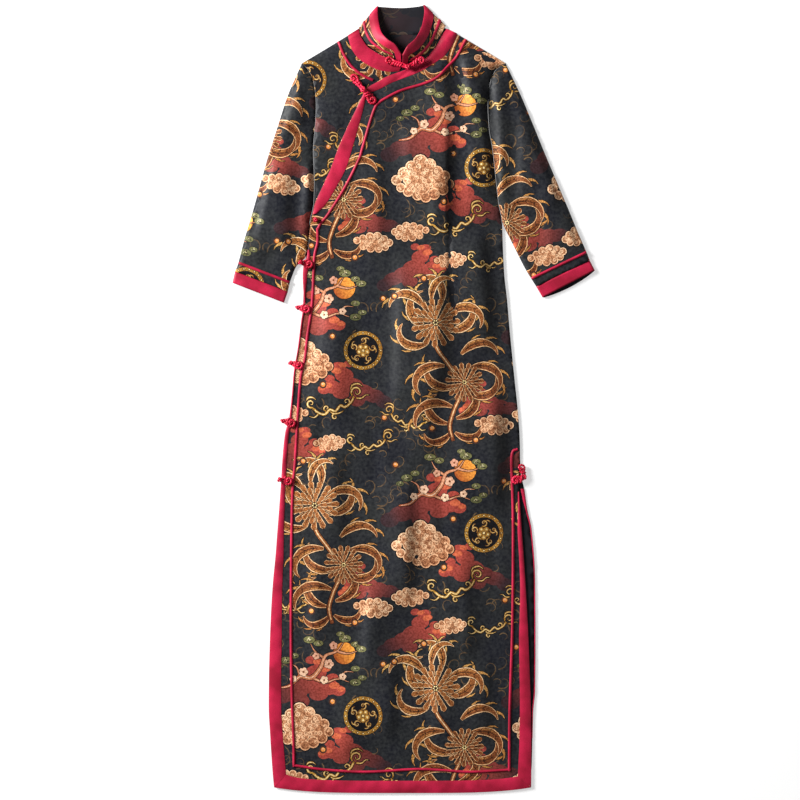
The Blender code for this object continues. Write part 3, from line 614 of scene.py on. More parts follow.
PLUMES = [Plume(*row) for row in (
    (-2, -128, 232, 58, -130, 13), (6, -128, 318, 60, 130, 13), (-6, -112, 168, 76, -150, 15),
    (10, -104, 8, 78, 140, 15), (4, -84, 152, 92, 130, 16), (30, -60, -34, 82, 150, 15),
    (14, -50, 190, 86, -140, 15), (40, -20, 14, 82, -140, 15), (-4, -14, 168, 88, 140, 16),
    (26, 4, 46, 78, -120, 15), (-30, 26, 200, 78, -150, 15), (-30, 52, 150, 86, -140, 16),
    (6, 46, -6, 80, 140, 16), (8, 74, 34, 86, -150, 16), (-2, 92, 70, 76, 150, 15),
    (-32, 88, 118, 80, 140, 16), (-18, 98, 92, 66, -130, 13),
)]
STEM = [(2, -142), (-2, -116), (8, -88), (24, -52), (4, -14), (-16, 20), (-14, 50)]


def chrysanthemum_wreath():
    stem = through(STEM, 4)
    layers = []
    for row in PLUMES:
        layers += plume(*row)
    layers += lined_stroke(stem, 7, ("outline", "plume", "plume rim"), EVEN, 1.2)
    return layers + flower(28, -44, 0.86) + flower(-14, 60, 1.08)


print("petals:", sum(ring.petals for ring in FLOWER_RINGS), "plumes:", len(PLUMES))

# %% [markdown]
# The roundel is a flower medal with a beaded ring. The bough is a blossoming branch with leaf
# pads, and the sun, pearls, mist and wisps fill the ground between. The mist is a heap of discs
# that all share one run of ink, so they read as a single drifting patch.

# %% Roundels
def roundel():
    layers = [
        patch(disc(0, 0, 43, 36), "outline"),
        patch(disc(0, 0, 42, 36), "gold"),
        patch(disc(0, 0, 34.5, 32), "outline"),
    ]
    for i in range(20):
        spot = round_from(0, 0, 38.3, math.pi * i / 10)
        layers.append(patch(disc(*spot, 2.9, 8), "umber"))
        layers.append(patch(disc(*spot, 1.5, 7), "gold light"))
    inks = ("umber", "gold", "gold light")
    curls = []
    for i in range(5):
        heading = 72 * i + 90
        spot = round_from(0, 0, 22, math.radians(heading))
        curls.append(lined_stroke(spiral(*spot, 8, 1.2, heading + 150, 1, 16), 2.6, inks, TAIL, 0.9))
        curls.append(lined_stroke(plume_path(*spot, heading - 30, 17, -120, 8), 2.4, inks, BRUSH, 0.9))
    layers += in_layers(curls)
    for i in range(5):
        angle = math.radians(72 * i + 54)
        spot = round_from(0, 0, 9, angle)
        layers += [patch(disc(*spot, 6.6, 12), "umber"), patch(disc(*spot, 5.4, 12), "gold")]
        layers.append(patch(disc(*round_from(0, 0, 9.5, angle), 2.4, 8), "gold light"))
    return layers + [patch(disc(0, 0, 4.2, 10), "umber"), patch(disc(0, 0, 2.6, 8), "gold light")]


print("outlines in a roundel:", len(roundel()))

# %% Blossoming boughs
LEAF_PADS = (
    (-64, 14, 1), (-50, 22, 0.8), (-24, 50, 1), (-8, 44, 0.85), (38, 52, 1.05), (56, 42, 0.8),
    (66, 34, 0.9), (56, -24, 1), (68, -16, 0.75), (56, 0, 0.8), (30, 60, 0.7), (-76, 4, 0.7),
)
BLOSSOMS = (
    (-34, -6, 1.1), (10, 8, 1.2), (2, -20, 1), (18, 40, 1), (34, -14, 0.9), (-52, -18, 0.9),
    (-12, 22, 0.9),
)


def blossom(x, y, size):
    layers = []
    for ink, grow in (("outline", 0.9), ("blossom", 0)):
        for i in range(5):
            spot = round_from(x, y, 4 * size, 2 * math.pi * i / 5 + x)
            layers.append(patch(disc(*spot, 3.3 * size + grow, 9), ink))
    return layers + [patch(disc(x, y, 1.7 * size, 7), "cloud line")]


def leaf_pad(x, y, size, rng):
    """A cushion of small leaves with pale tips."""
    layers = [
        patch(disc(x, y, 11 * size, 14, 0.62), "outline"),
        patch(disc(x, y, 10 * size, 14, 0.6), "leaf"),
    ]
    for i in range(7):
        heading = 20 + 140 * i / 6
        root = x + (i - 3) * 2.3 * size, y - 2.5 * size
        spine = plume_path(*root, heading, 8.5 * size, rng.uniform(-30, 30), 3)
        layers.append(patch(stroke(spine, 2.4 * size), "leaf light" if i % 2 else "outline"))
    return layers


def bough(rng):
    trunk = through([(-78, -34), (-58, -30), (-40, -14), (-20, -16), (-4, 2), (4, 22), (24, 30),
                     (36, 46)])
    twigs = [
        (trunk, 7.5, LEAF),
        (through([(-40, -14), (-46, 2), (-60, 10)]), 4, TAIL),
        (through([(-20, -16), (4, -24), (26, -18), (52, -26)]), 4.6, TAIL),
        (through([(2, 18), (-14, 30), (-22, 44)]), 4, TAIL),
        (through([(24, 30), (44, 26), (64, 32)]), 3.8, TAIL),
        (through([(26, -18), (38, -6), (54, -6)]), 3.2, TAIL),
    ]
    inks = ("outline", "bough", "blossom")
    layers = in_layers([
        lined_stroke(path, width, inks, swell, 1.2, 0.22) for path, width, swell in twigs])
    for x, y, size in LEAF_PADS:
        layers += leaf_pad(x, y, size, rng)
    for x, y, size in BLOSSOMS:
        layers += blossom(x, y, size)
    return layers


print("leaf pads:", len(LEAF_PADS), "blossoms:", len(BLOSSOMS))

# %% Suns, pearls, mist and wisps
MIST_LOBES = (
    (-52, -22, 14), (-34, -14, 18), (-14, -10, 20), (6, 0, 21), (20, 16, 16), (30, 30, 12), (38, -6, 15),
    (52, -12, 10), (-6, -24, 14), (22, -16, 14), (44, 8, 9), (14, 36, 8),
)
MIST_LIGHTS = ((34, 22, 9), (24, 33, 7), (46, -4, 8), (56, -10, 6))


def sun():
    return [patch(disc(0, 0, 20.5, 30), "outline"), patch(disc(0, 0, 19.5, 30), "sun")]


def pearl():
    return [patch(disc(0, 0, 6.6, 12), "halo"), patch(disc(0, 0, 3.8, 12), "pearl"),
            patch(disc(-0.6, 0.9, 1.5, 7), "blossom")]


def mist(rng):
    layers = [patch(disc(x, y, r, 16, rng.uniform(0.6, 0.8)), "rust") for x, y, r in MIST_LOBES]
    for x, y, r in MIST_LIGHTS:
        layers.append(patch(disc(x, y, r, 12, 0.6), "rust light"))
    return layers


def wisp(rng):
    """A few faint hooked hairlines."""
    layers = []
    for i in range(rng.choice((2, 3))):
        hand = rng.choice((-1, 1))
        x, heading, length = rng.uniform(-14, 14), rng.uniform(-40, 60), rng.uniform(26, 46)
        path = plume_path(x, 7 * i, heading, length, hand * 230, 8)
        layers.append(patch(stroke(path, rng.uniform(1.8, 2.7), TAIL), "wisp"))
    return layers


print("lobes of a mist:", len(MIST_LOBES) + len(MIST_LIGHTS))

# %% [markdown]
# The screens repeat every 205 mm across and 620 mm along the cloth, and each column steps down
# by half a repeat. The layout places every motif of a repeat, back to front.

# %% Layout of one repeat
Motif = namedtuple("Motif", "kind x y size turn mirror", defaults=(1.0, 0, False))
REPEAT_WIDE = 205
REPEAT_LONG = 620
WISPS = 30
dice = random.Random(11)

DRAWN = {
    "wreath": chrysanthemum_wreath(),
    "big cloud": cloud(BIG_CLOUD, dice),
    "long cloud": cloud(LONG_CLOUD, dice),
    "scroll": scroll_cloud(),
    "roundel": roundel(),
    "bough": bough(dice),
    "sun": sun(),
    "pearl": pearl(),
    "mist": mist(dice),
}

LAYOUT = [Motif(*row) for row in (
    ("mist", 62, 186, 1.15, 4), ("mist", 150, 74, 1.0, -6, True), ("mist", 40, 584, 0.95, 10),
    ("mist", 176, 356, 0.9, 4, True), ("sun", 132, 240, 0.95), ("bough", 96, 214, 0.98),
    ("scroll", 118, 42, 0.92, 5), ("scroll", 30, 326, 0.72, -6, True), ("scroll", 176, 596, 0.74, -4),
    ("roundel", 164, 134, 0.78), ("wreath", 100, 432, 1.0, 4), ("big cloud", 58, 112, 1.06),
    ("long cloud", 38, 24, 0.86, 3), ("long cloud", 182, 316, 0.9, -4, True),
    ("long cloud", 108, 596, 0.74, 4, True), ("pearl", 112, 158), ("pearl", 198, 222),
    ("pearl", 14, 250), ("pearl", 96, 76), ("pearl", 204, 470), ("pearl", 12, 536), ("pearl", 150, 292),
    ("pearl", 76, 312), ("pearl", 200, 20), ("pearl", 62, 566),
)]


def print_repeat():
    layers = []
    for i in range(WISPS):
        spot = dice.uniform(0, REPEAT_WIDE), dice.uniform(0, REPEAT_LONG)
        layers += place_motif(wisp(dice), *spot, 1, dice.uniform(0, 360))
    for motif in LAYOUT:
        layers += place_motif(DRAWN[motif.kind], *motif[1:])
    return layers


ONE_REPEAT = print_repeat()
print("outlines in a repeat:", len(ONE_REPEAT), "points:", sum(len(p.points) for p in ONE_REPEAT))


def print_over(low, high, shift, turn):
    """The patches that reach a stretch of cloth. shift and turn say how the print lies on the cut."""
    middle = (np.array(low) + high) / 2
    reach = np.linalg.norm(np.array(high) - low) / 2 + 10
    spun = turning(turn)
    centre = (middle - shift) @ spun
    layers = []
    lowest, highest = (int((centre[0] + side * reach) // REPEAT_WIDE) for side in (-1, 1))
    for column in range(lowest - 1, highest + 2):
        drop = (column % 2) / 2
        first, last = ((centre[1] + side * reach) / REPEAT_LONG - drop for side in (-1, 1))
        for row in range(math.floor(first) - 1, math.floor(last) + 2):
            offset = np.array([column * REPEAT_WIDE, (row + drop) * REPEAT_LONG])
            for points, ink, run in ONE_REPEAT:
                spot = (points + offset) @ spun.T + shift
                if (spot.max(0) > low).all() and (spot.min(0) < high).all():
                    plane = run[:2] @ spun.T
                    level = run[2] - run[:2] @ offset - plane @ shift
                    layers.append(Patch(spot, ink, np.array([*plane, level])))
    return layers

# %% [markdown]
# ## From a flat cut to cloth
#
# A cut piece starts as a flat outline. Its triangles follow every outline of the print, with a
# loose grid of points between, and a height function then lays it on the table. The underside
# has no print, so it is a coarser net on the same rim, one wall lower.

# %% Nets of points and triangles
Cut = namedtuple("Cut", "points triangles inks rim")
CLEARANCE = 2.0
FINEST = 0.6
UNDER_NET = 14.0


def polygon_area(points):
    x, y = points[:, 0], points[:, 1]
    return 0.5 * float(np.sum(x * np.roll(y, -1) - y * np.roll(x, -1)))


def grid_points(outline, taken, spacing, rng):
    """An uneven net of points inside a box, clear of the points already taken."""
    tree = KDTree(len(taken))
    for i, point in enumerate(taken):
        tree.insert((*point, 0), i)
    tree.balance()
    low, high = outline.min(0), outline.max(0)
    points = []
    for row, y in enumerate(np.arange(low[1], high[1], spacing * 0.87)):
        for x in np.arange(low[0] + (row % 2) * spacing / 2, high[0], spacing):
            spot = x + rng.uniform(-0.2, 0.2) * spacing, y + rng.uniform(-0.2, 0.2) * spacing
            if tree.find((*spot, 0))[2] > CLEARANCE:
                points.append(spot)
    return np.array(points)


def nearest_gap(points, taken):
    """The distance from each point to the nearest of the points already taken."""
    return np.array([np.sqrt(((taken - point) ** 2).sum(1).min()) for point in points])


def flat_triangles(points, edges, faces):
    """Triangles inside the first face, with the faces that own each one."""
    vectors = [Vector(point) for point in points.tolist()]
    coords, _, triangles, origins, _, owners = delaunay_2d_cdt(vectors, edges, faces, 1, 1e-5, True)
    kept = [(t, own) for t, own in zip(triangles, owners) if 0 in own]
    places = np.array([tuple(p) for p in coords])
    return places, np.array([t for t, _ in kept]), [own for _, own in kept], origins


def rim_of(triangles):
    """The loop of points round a flat net of triangles."""
    follows = {}
    for a, b, c in triangles.tolist():
        follows.update({(a, b): 1, (b, c): 1, (c, a): 1})
    follows = {a: b for a, b in follows if (b, a) not in follows}
    rim = [next(iter(follows))]
    while follows[rim[-1]] != rim[0]:
        rim.append(follows[rim[-1]])
    return rim


print("outline of the front, cm2:", round(polygon_area(front_outline) / 100))

# %% Cut along the inks that show
def edges_between(triangles, kinds):
    """The sides of triangles on which two kinds of ink meet."""
    sides = np.concatenate([triangles[:, [0, 1]], triangles[:, [1, 2]], triangles[:, [2, 0]]])
    sides = np.sort(sides, axis=1)
    side_kind = np.tile(kinds, 3)
    order = np.lexsort((sides[:, 1], sides[:, 0]))
    sides, side_kind = sides[order], side_kind[order]
    twin = (sides[1:] == sides[:-1]).all(1)
    return sides[:-1][twin & (side_kind[1:] != side_kind[:-1])]


def thinned(points, used, rim):
    """The used points with close ones merged, though none of the rim's, and the new numbers."""
    cells = np.column_stack([np.round(points[used] / FINEST), np.where(np.isin(used, rim), used, -1)])
    _, first, cell = np.unique(cells, axis=0, return_index=True, return_inverse=True)
    renumber = np.full(len(points), -1)
    renumber[used] = cell.ravel()
    return points[used][first], renumber


def cut_along(outline, layers, spacing=8.0, extra=()):
    """First every outline is cut, to find the topmost one over each triangle, or 0 for bare cloth.
    Then only the edges that show are cut again. extra holds more points for the net, where a
    crease is narrower than its spacing."""
    parts = [outline] + [layer.points for layer in layers]
    parts = [part if polygon_area(part) > 0 else part[::-1] for part in parts]
    ends = np.cumsum([len(part) for part in parts])
    faces = [list(range(end - len(part), end)) for part, end in zip(parts, ends)]
    points, triangles, owners, _ = flat_triangles(np.concatenate(parts), [], faces)
    shown = np.array([max(own) for own in owners])
    numbers = {}
    for layer in layers:
        numbers.setdefault((layer.ink, *np.round(layer.run, 5)), len(numbers) + 1)
    kinds = [numbers[(layer.ink, *np.round(layer.run, 5))] for layer in layers]
    seen = edges_between(triangles, np.array([0] + kinds)[shown])

    rim = rim_of(triangles)
    taken, renumber = thinned(points, np.unique(np.concatenate([seen.ravel(), rim])), rim)
    seen = renumber[seen]
    seen = seen[seen[:, 0] != seen[:, 1]]
    if len(extra):
        taken = np.concatenate([taken, extra[nearest_gap(extra, taken) > CLEARANCE]])
    grid = grid_points(outline, taken, spacing, random.Random(5))
    again, net, _, _ = flat_triangles(
        np.concatenate([taken, grid]), seen.tolist(), [renumber[rim].tolist()])

    tree = BVHTree.FromPolygons([(*point, 0) for point in points.tolist()], triangles.tolist())
    centres = again[net].mean(1)
    found = [tree.find_nearest((*centre, 0))[2] for centre in centres.tolist()]
    print("cut:", len(layers), "outlines", len(net), "triangles")
    return Cut(again, net, shown[found] - 1, rim_of(net))

# %% [markdown]
# Blender keeps a shape as a mesh: points, faces and their materials. The print's colour is kept
# there too, as a colour attribute with a value for each corner of each face, which the shader
# reads. That leaves every edge of ink sharp, where a texture would blur it.

# %% Give the cut its inks and its shape
def ink_colours(cut, layers):
    """A colour for each corner of each triangle. Its last channel is 1 for bare ground, SCALY for an
    ink with fine lines and 0 for a plain ink."""
    colours = np.zeros((len(cut.triangles), 3, 4))
    colours[:, :, :3] = GROUND
    colours[:, :, 3] = 1
    for number in np.unique(cut.inks[cut.inks >= 0]):
        rows = cut.inks == number
        layer = layers[number]
        ink = INKS[layer.ink]
        at = cut.points[cut.triangles[rows]]
        share = np.clip(at @ layer.run[:2] + layer.run[2] + 0.5, 0, 1)[..., None]
        colours[rows, :, :3] = linear(ink.near) * (1 - share) + linear(ink.far) * share
        colours[rows, :, 3] = SCALY if layer.ink in SCALY_INKS else 0
    return colours.reshape(-1, 4)


PIECES = []


def new_piece(name, points, faces, materials, slots=None):
    """An object from points in mm, in the maker's frame. Its name is that of the solid it stands
    for and, after the last underscore, what it is made of."""
    mesh = bpy.data.meshes.new(name)
    mesh.from_pydata((np.asarray(points) * MM).tolist(), [], [list(face) for face in faces])
    for material in materials:
        mesh.materials.append(material)
    if slots is not None:
        mesh.polygons.foreach_set("material_index", np.asarray(slots, np.int32))
    mesh.shade_smooth()
    thing = bpy.data.objects.new(name, mesh)
    thing.location = SHIFT * MM
    scene.collection.objects.link(thing)
    PIECES.append(thing)
    return thing


def colour_piece(thing, colours):
    """Gives a piece its inks, and the bare ground where its faces go on beyond them."""
    ink = thing.data.color_attributes.new("ink", "FLOAT_COLOR", "CORNER")
    plain = np.tile([*GROUND, 1], (len(thing.data.loops) - len(colours), 1))
    ink.data.foreach_set("color", np.concatenate([colours, plain]).ravel())


def rework(thing, change):
    work = bmesh.new()
    work.from_mesh(thing.data)
    change(work)
    work.to_mesh(thing.data)
    work.free()


def under_cut(cut, spacing=UNDER_NET):
    """A coarse net on the same rim: its points, its triangles, and where the rim's points are."""
    rim = cut.points[cut.rim]
    every = np.concatenate([rim, grid_points(rim, rim, spacing, random.Random(6))])
    points, triangles, _, origins = flat_triangles(every, [], [list(range(len(rim)))])
    place = {number: i for i, origin in enumerate(origins) for number in origin}
    return points, triangles.tolist(), [place[i] for i in range(len(rim))]


def laid_cloth(name, cut, layers, top, under, materials, face_up=0):
    """A closed thin shell: the upper side, the plain under side and the rim between them. face_up is 0
    where the print lies up, and 1 where the wrong side does."""
    below, below_triangles, below_rim = under_cut(cut)
    count = len(cut.points)
    faces = cut.triangles.tolist()
    faces += [[count + i for i in reversed(t)] for t in below_triangles]
    for i, a in enumerate(cut.rim):
        j = (i + 1) % len(cut.rim)
        faces.append([a, count + below_rim[i], count + below_rim[j], cut.rim[j]])
    upper = np.column_stack([cut.points, top(*cut.points.T)])
    lower = np.column_stack([below, under(*below.T)])
    slots = [face_up] * len(cut.triangles) + [1 - face_up] * (len(faces) - len(cut.triangles))
    thing = new_piece(name, np.concatenate([upper, lower]), faces, materials, slots)
    colour_piece(thing, ink_colours(cut, layers))
    return thing

# %% [markdown]
# ## How the gown lies
#
# Pressed silk lies almost flat, and still the eye reads it as cloth by its folds: a long dart
# line down the waist, slack over the hips, short pulls at the armpits. Each fold below is a soft
# ridge, or a trough where its height is under 0, and no two are alike in length, width or depth.

# %% Folds of the front
# far is a fold's width on the side of the wearer's left, for a fold that runs down. At 0 it is
# the same as width
Fold = namedtuple("Fold", "x1 y1 x2 y2 width height far", defaults=(0,))

SOLID_FOLDS = [Fold(*row) for row in (
    (78, 1072, 84, 925, 16, -1.0), (84, 925, 93, 772, 16, -0.8), (118, 1060, 112, 880, 26, 1.0),
    (-30, 1010, -52, 800, 30, 0.7), (-95, 900, -80, 690, 26, 0.8), (72, 690, 78, 520, 20, -0.9),
    (20, 640, 34, 380, 34, 0.9), (-90, 560, -96, 300, 30, 0.8), (118, 480, 124, 190, 28, 0.9),
    (-20, 330, -28, 120, 26, -0.7), (66, 260, 60, 90, 24, 0.7),
)]
DRAPE_FOLDS = [Fold(*row) for row in (
    (60, 1276, 76, 1126, 36, 8.0, 16), (107, 1276, 124, 1136, 11, 8.6, 36),
    (72, 1170, 73, 920, 40, 10.0, 10), (62, 935, 57, 650, 40, 10.4, 18),
    (50, 740, 36, 560, 30, 6.4, 18), (134, 985, 146, 730, 52, 9.2, 16),
    (166, 720, 176, 465, 84, 10.4, 20), (6, 945, -4, 605, 16, 8.0, 44),
    (-116, 875, -112, 605, 32, 8.2, 26), (-118, 605, -112, 405, 36, 7.4, 18),
    (-48, 385, -60, 185, 13, 7.6, 38), (7, 575, 4, 295, 40, 7.8, 15), (-22, 255, -26, 75, 34, 6.6, 16),
    (100, 435, 108, 205, 40, 6.4, 17), (60, 285, 66, 75, 13, 4.6, 34),
    (134, 1200, 141, 990, 28, 5.6, 12), (10, 1160, 20, 980, 14, 4.6, 36),
    (-46, 1110, -40, 920, 30, 4.8, 13), (-150, 435, -146, 205, 14, 4.8, 32),
    (140, 250, 134, 70, 32, 5.0, 15), (-100, 190, -92, 50, 14, 4.4, 30),
    (-168, 760, -163, 640, 12, 4.0, 20),
)]
# The dart is sewn, so it is a groove far narrower than a fold
DART = np.array([(79, 1094), (80, 1000), (81, 889), (92, 782)], float)
DART_DEEP = 2.0
DART_WIDE = 3.4
FINE_FOLDS = [Fold(*row) for row in (
    (122, 1120, 118, 1010, 7, 2.0), (60, 1060, 56, 940, 8, 2.0), (-20, 1165, 20, 1178, 9, 1.4),
    (-118, 968, -62, 1004, 8, 1.9), (-126, 940, -70, 948, 10, -1.8), (-112, 1005, -70, 1050, 7, -1.4),
    (148, 978, 104, 1018, 8, 2.0), (150, 950, 112, 962, 9, -1.8), (130, 1236, 146, 1190, 10, -2.2),
    (-68, 800, -92, 742, 9, -1.7), (40, 830, 52, 700, 11, -1.8), (140, 760, 132, 640, 12, -1.9),
    (-128, 690, -140, 560, 10, -1.8), (-52, 640, -40, 500, 12, -1.9), (101, 700, 108, 560, 9, 1.8),
    (60, 560, 74, 410, 9, -2.1), (-8, 520, 6, 350, 12, 1.6), (152, 470, 158, 330, 9, -1.8),
    (-136, 470, -146, 250, 12, 1.7), (96, 340, 90, 190, 11, -1.7), (32, 250, 44, 110, 12, -1.6),
)]
YOKE_FOLDS = [
    Fold(-147, 1190, -146, 1056, 5, 2.6, 13), Fold(-116, 1212, -112, 1110, 10, 0.9),
    Fold(-92, 1180, -98, 1110, 8, -0.9),
]


def fold_height(x, y, folds):
    """The height that soft folds add, each fading out at both its ends."""
    total = np.zeros_like(x)
    for fold in folds:
        start = np.array([fold.x1, fold.y1])
        along = np.array([fold.x2, fold.y2]) - start
        share = ((x - start[0]) * along[0] + (y - start[1]) * along[1]) / (along @ along)
        away = (along[0] * (y - start[1]) - along[1] * (x - start[0])) / np.linalg.norm(along)
        width = np.where(away > 0, fold.far or fold.width, fold.width)
        ends = smooth(share / 0.3) * smooth((1 - share) / 0.3)
        total += fold.height * ends * np.exp(-((away / width) ** 2))
    return total


def ripple(x, y, size, seed):
    """A slow uneven wobble of cloth, a few waves of odd lengths crossing."""
    rng = random.Random(seed)
    total = np.zeros_like(x)
    for i in range(6):
        heading = rng.uniform(0, math.pi)
        wave = rng.uniform(0.7, 1.7) * size
        along = x * math.cos(heading) + y * math.sin(heading)
        total += np.sin(along * 2 * math.pi / wave + rng.uniform(0, 6)) / 6
    return total


def kept_above(height, floor):
    """A height that levels out softly just above a floor."""
    spare = height - floor
    return floor + 0.5 * (spare + np.sqrt(spare ** 2 + 0.4))


print("folds of the front:", len(SOLID_FOLDS) + len(DRAPE_FOLDS) + len(FINE_FOLDS))

# %% Heights of the panels
WALL = 0.8
BACK_TOP = 1.2
YOKE_TOP = 2.7
FRONT_TOP = 3.0


def front_top(x, y):
    """The height of the front's printed face above the table."""
    from_left, from_right = x - front_left(y), front_right(y) - x
    from_edge = np.minimum(from_left, from_right)
    at_seam = smooth((y - ARMHOLE_BOTTOM + 3) / 6) * smooth((ARMHOLE_TOP + 3 - y) / 6)
    inside = smooth((from_left - 12) / 34)
    inside = inside * smooth((from_right - 12 + 12 * at_seam) / (34 - 20 * at_seam))
    inside = inside * smooth((y - 34) / 50)
    lifted = smooth((from_edge - 45) / 70) * smooth((1130 - y) / 180) * smooth((y - 50) / 90)
    puff = 1.9 * inside + 1.8 * lifted
    over_yoke = smooth((yoke_right(y) + 58 - x) / 50) * smooth((y - 925) / 45)
    slack = fold_height(x, y, SOLID_FOLDS) + fold_height(x, y, DRAPE_FOLDS)
    slack = slack + fold_height(x, y, FINE_FOLDS)
    dip = -1.0 * np.exp(-((front_right(y) - x) / 2.4) ** 2) * at_seam
    wobble = 0.4 * ripple(x, y, 60, 3) * smooth(from_edge / 30) + 0.14 * ripple(x, y, 22, 4)
    from_dart = x - np.interp(y, DART[::-1, 1], DART[::-1, 0])
    tucked = smooth((y - DART[-1, 1]) / 40) * smooth((DART[0, 1] - y) / 40)
    wobble = wobble - DART_DEEP * tucked * np.exp(-((from_dart / DART_WIDE) ** 2))
    height = FRONT_TOP + puff + 1.4 * over_yoke + inside * slack + wobble
    return kept_above(height, 2.2 + 1.5 * over_yoke) + dip


def front_cloth_top(x, y):
    """The front's cloth keeps a little under its own bands along the hem and the sides."""
    from_edge = np.minimum(x - front_left(y), front_right(y) - x)
    tucked = np.maximum(smooth((20 - y) / 8), smooth((4 - from_edge) / 3) * smooth((560 - y) / 20))
    return front_top(x, y) - 0.35 * tucked


def yoke_top(x, y):
    """The under-front is flat where the front covers it, and has some slack where it shows."""
    bare = smooth((front_left(y) - x - 4) / 14) * smooth((x - yoke_left(y) - 2) / 12)
    bare = bare * smooth((front_left(y) - yoke_left(y) - 25) / 30)
    return YOKE_TOP + bare * (1.5 + fold_height(x, y, YOKE_FOLDS) + 0.3 * ripple(x, y, 40, 8))


def back_top(x, y):
    return np.full_like(x, BACK_TOP)


def lowered(top, wall):
    return lambda x, y: top(x, y) - wall


print("front at the chest, mm:", round(float(front_top(np.array([0.0]), np.array([1050.0]))[0]), 1))

# %% [markdown]
# ## Materials
#
# Four finishes carry the whole gown: the printed silk, its wrong side, the satin of the bands
# and the satin cord of the frogs. Each takes its grain from the object's own coordinates, in
# metres, so a scale of 1000 / size gives features of that size in millimetres.

# %% Sockets and grain
# A mix node has several sockets of one name, so they are picked by number
FACTOR = 0
COLOUR_A = 6
COLOUR_B = 7
MIXED = 2
COLOURS = {"data_type": "RGBA"}
MULTIPLIED = {"data_type": "RGBA", "blend_type": "MULTIPLY"}
ABOVE = {"operation": "GREATER_THAN"}
# The ground is bare where the last channel of the inks is above this
BARE_FROM = 0.75
print("inks with fine lines:", sorted(SCALY_INKS))

# %% [markdown]
# The printed silk is a jacquard: dyed charcoal in the piece and woven with a small figure, which
# gives the eye a ground that drifts from blue to dull green, and is never one flat colour. Each
# colour is then pushed through a screen, so an ink sits in the weave and breaks up where the
# screen ran dry. The cloth is soft and nearly matt, and a slight sheen lifts the folds that turn
# away. An image could hold all this, but nodes need none and don't stretch on a fold.

# %% The dyed ground
# The size in mm and the detail of each grain: the drift of the dye, its flecks, the dry grain of
# the ink, and the waver of its fine lines
GRAINS = {"drift": (70, 3.0), "flecks": (5.0, 4.0), "dry": (3.2, 3.0), "waver": (9.0, 2.0)}

printed_silk, tree, shader = new_material("charcoal jacquard silk with a screen print", {
    "Roughness": 0.5, "Sheen Weight": 0.02, "Sheen Roughness": 0.45, "Specular IOR Level": 0.13})
place = add_node(tree, "TexCoord")
on_cloth = {"Vector": (place, "Object")}
grains = {
    name: add_node(tree, "TexNoise", None, {"Scale": 1000 / mm, "Detail": detail}, on_cloth)
    for name, (mm, detail) in GRAINS.items()
}
dyed = add_node(tree, "ValToRGB", links={"Fac": (grains["drift"], "Fac")},
                stops=((0.35, "#191b26"), (0.68, "#292b2a")))
flecked = add_node(tree, "ValToRGB", links={"Fac": (grains["flecks"], "Fac")},
                   stops=((0.35, "#101116"), (0.75, "#3a3b3b")))
mottled = add_node(tree, "Mix", COLOURS, {FACTOR: 0.55},
                   {COLOUR_A: (dyed, "Color"), COLOUR_B: (flecked, "Color")})

# %% The screen print
# The cells of the net of fine lines, in mm, and how far its lines waver, in metres
NET_CELL = 3.6
NET_WAVER = 0.006

ink = add_node(tree, "VertexColor", {"layer_name": "ink"})
dry = add_node(tree, "ValToRGB", links={"Fac": (grains["dry"], "Fac")},
               stops=((0.36, "#c8bcb4"), (0.62, "#ffffff")))
broken = add_node(tree, "Mix", MULTIPLIED, {FACTOR: 1.0},
                  {COLOUR_A: (ink, "Color"), COLOUR_B: (dry, "Color")})
# The vectors of a mix node are its sockets 4 and 5, and its output 1
wavering = add_node(tree, "Mix", {"data_type": "VECTOR"}, {FACTOR: NET_WAVER},
                    {4: (place, "Object"), 5: (grains["waver"], "Color")})
cells = add_node(tree, "TexVoronoi", {"feature": "DISTANCE_TO_EDGE"},
                 {"Scale": 1000 / NET_CELL}, {"Vector": (wavering, 1)})
lines = add_node(tree, "ValToRGB", links={"Fac": (cells, "Distance")},
                 stops=((0.03, "#4a2a1c"), (0.16, "#ffffff")))
lined = add_node(tree, "Mix", MULTIPLIED, {FACTOR: 0.6},
                 {COLOUR_A: (broken, MIXED), COLOUR_B: (lines, "Color")})
scaly = add_node(tree, "Math", {"operation": "COMPARE"}, {1: SCALY, 2: 0.2},
                 {0: (ink, "Alpha")})
inked = add_node(tree, "Mix", COLOURS, None,
                 {FACTOR: (scaly, 0), COLOUR_A: (broken, MIXED), COLOUR_B: (lined, MIXED)})
bare = add_node(tree, "Math", ABOVE, {1: BARE_FROM}, {0: (ink, "Alpha")})
silk_colour = add_node(tree, "Mix", COLOURS, None,
                       {FACTOR: (bare, 0), COLOUR_A: (inked, MIXED), COLOUR_B: (mottled, MIXED)})
tree.links.new(silk_colour.outputs[MIXED], shader.inputs["Base Color"])
print("cells of fine lines, mm:", NET_CELL)

# %% The weave
# The real threads are about 0.1 mm apart, too fine to show here, so they are drawn at 1.6 mm and
# drawn out along the warp. The relief is in mm as well
SILK_WEAVE = 1.6
ALONG_WARP = (1.0, 0.35, 1.0)
SILK_RELIEF = 0.10

warp = add_node(tree, "Mapping", values={"Scale": ALONG_WARP}, links=on_cloth)
weave = add_node(tree, "TexNoise", values={"Scale": 1000 / SILK_WEAVE, "Detail": 1.0},
                 links={"Vector": (warp, "Vector")})
relief = add_node(tree, "Bump", values={"Strength": 0.5, "Distance": SILK_RELIEF * MM},
                  links={"Height": (weave, "Fac")})
tree.links.new(relief.outputs["Normal"], shader.inputs["Normal"])
print("nodes in the printed silk:", len(tree.nodes))

# %% [markdown]
# The wrong side of the same silk: the screens don't reach it, so it is nearly black and matt,
# with the inks showing through as a breath of colour.

# %% The wrong side
REVERSE_DRIFT = 30
SHOWN_THROUGH = 0.05

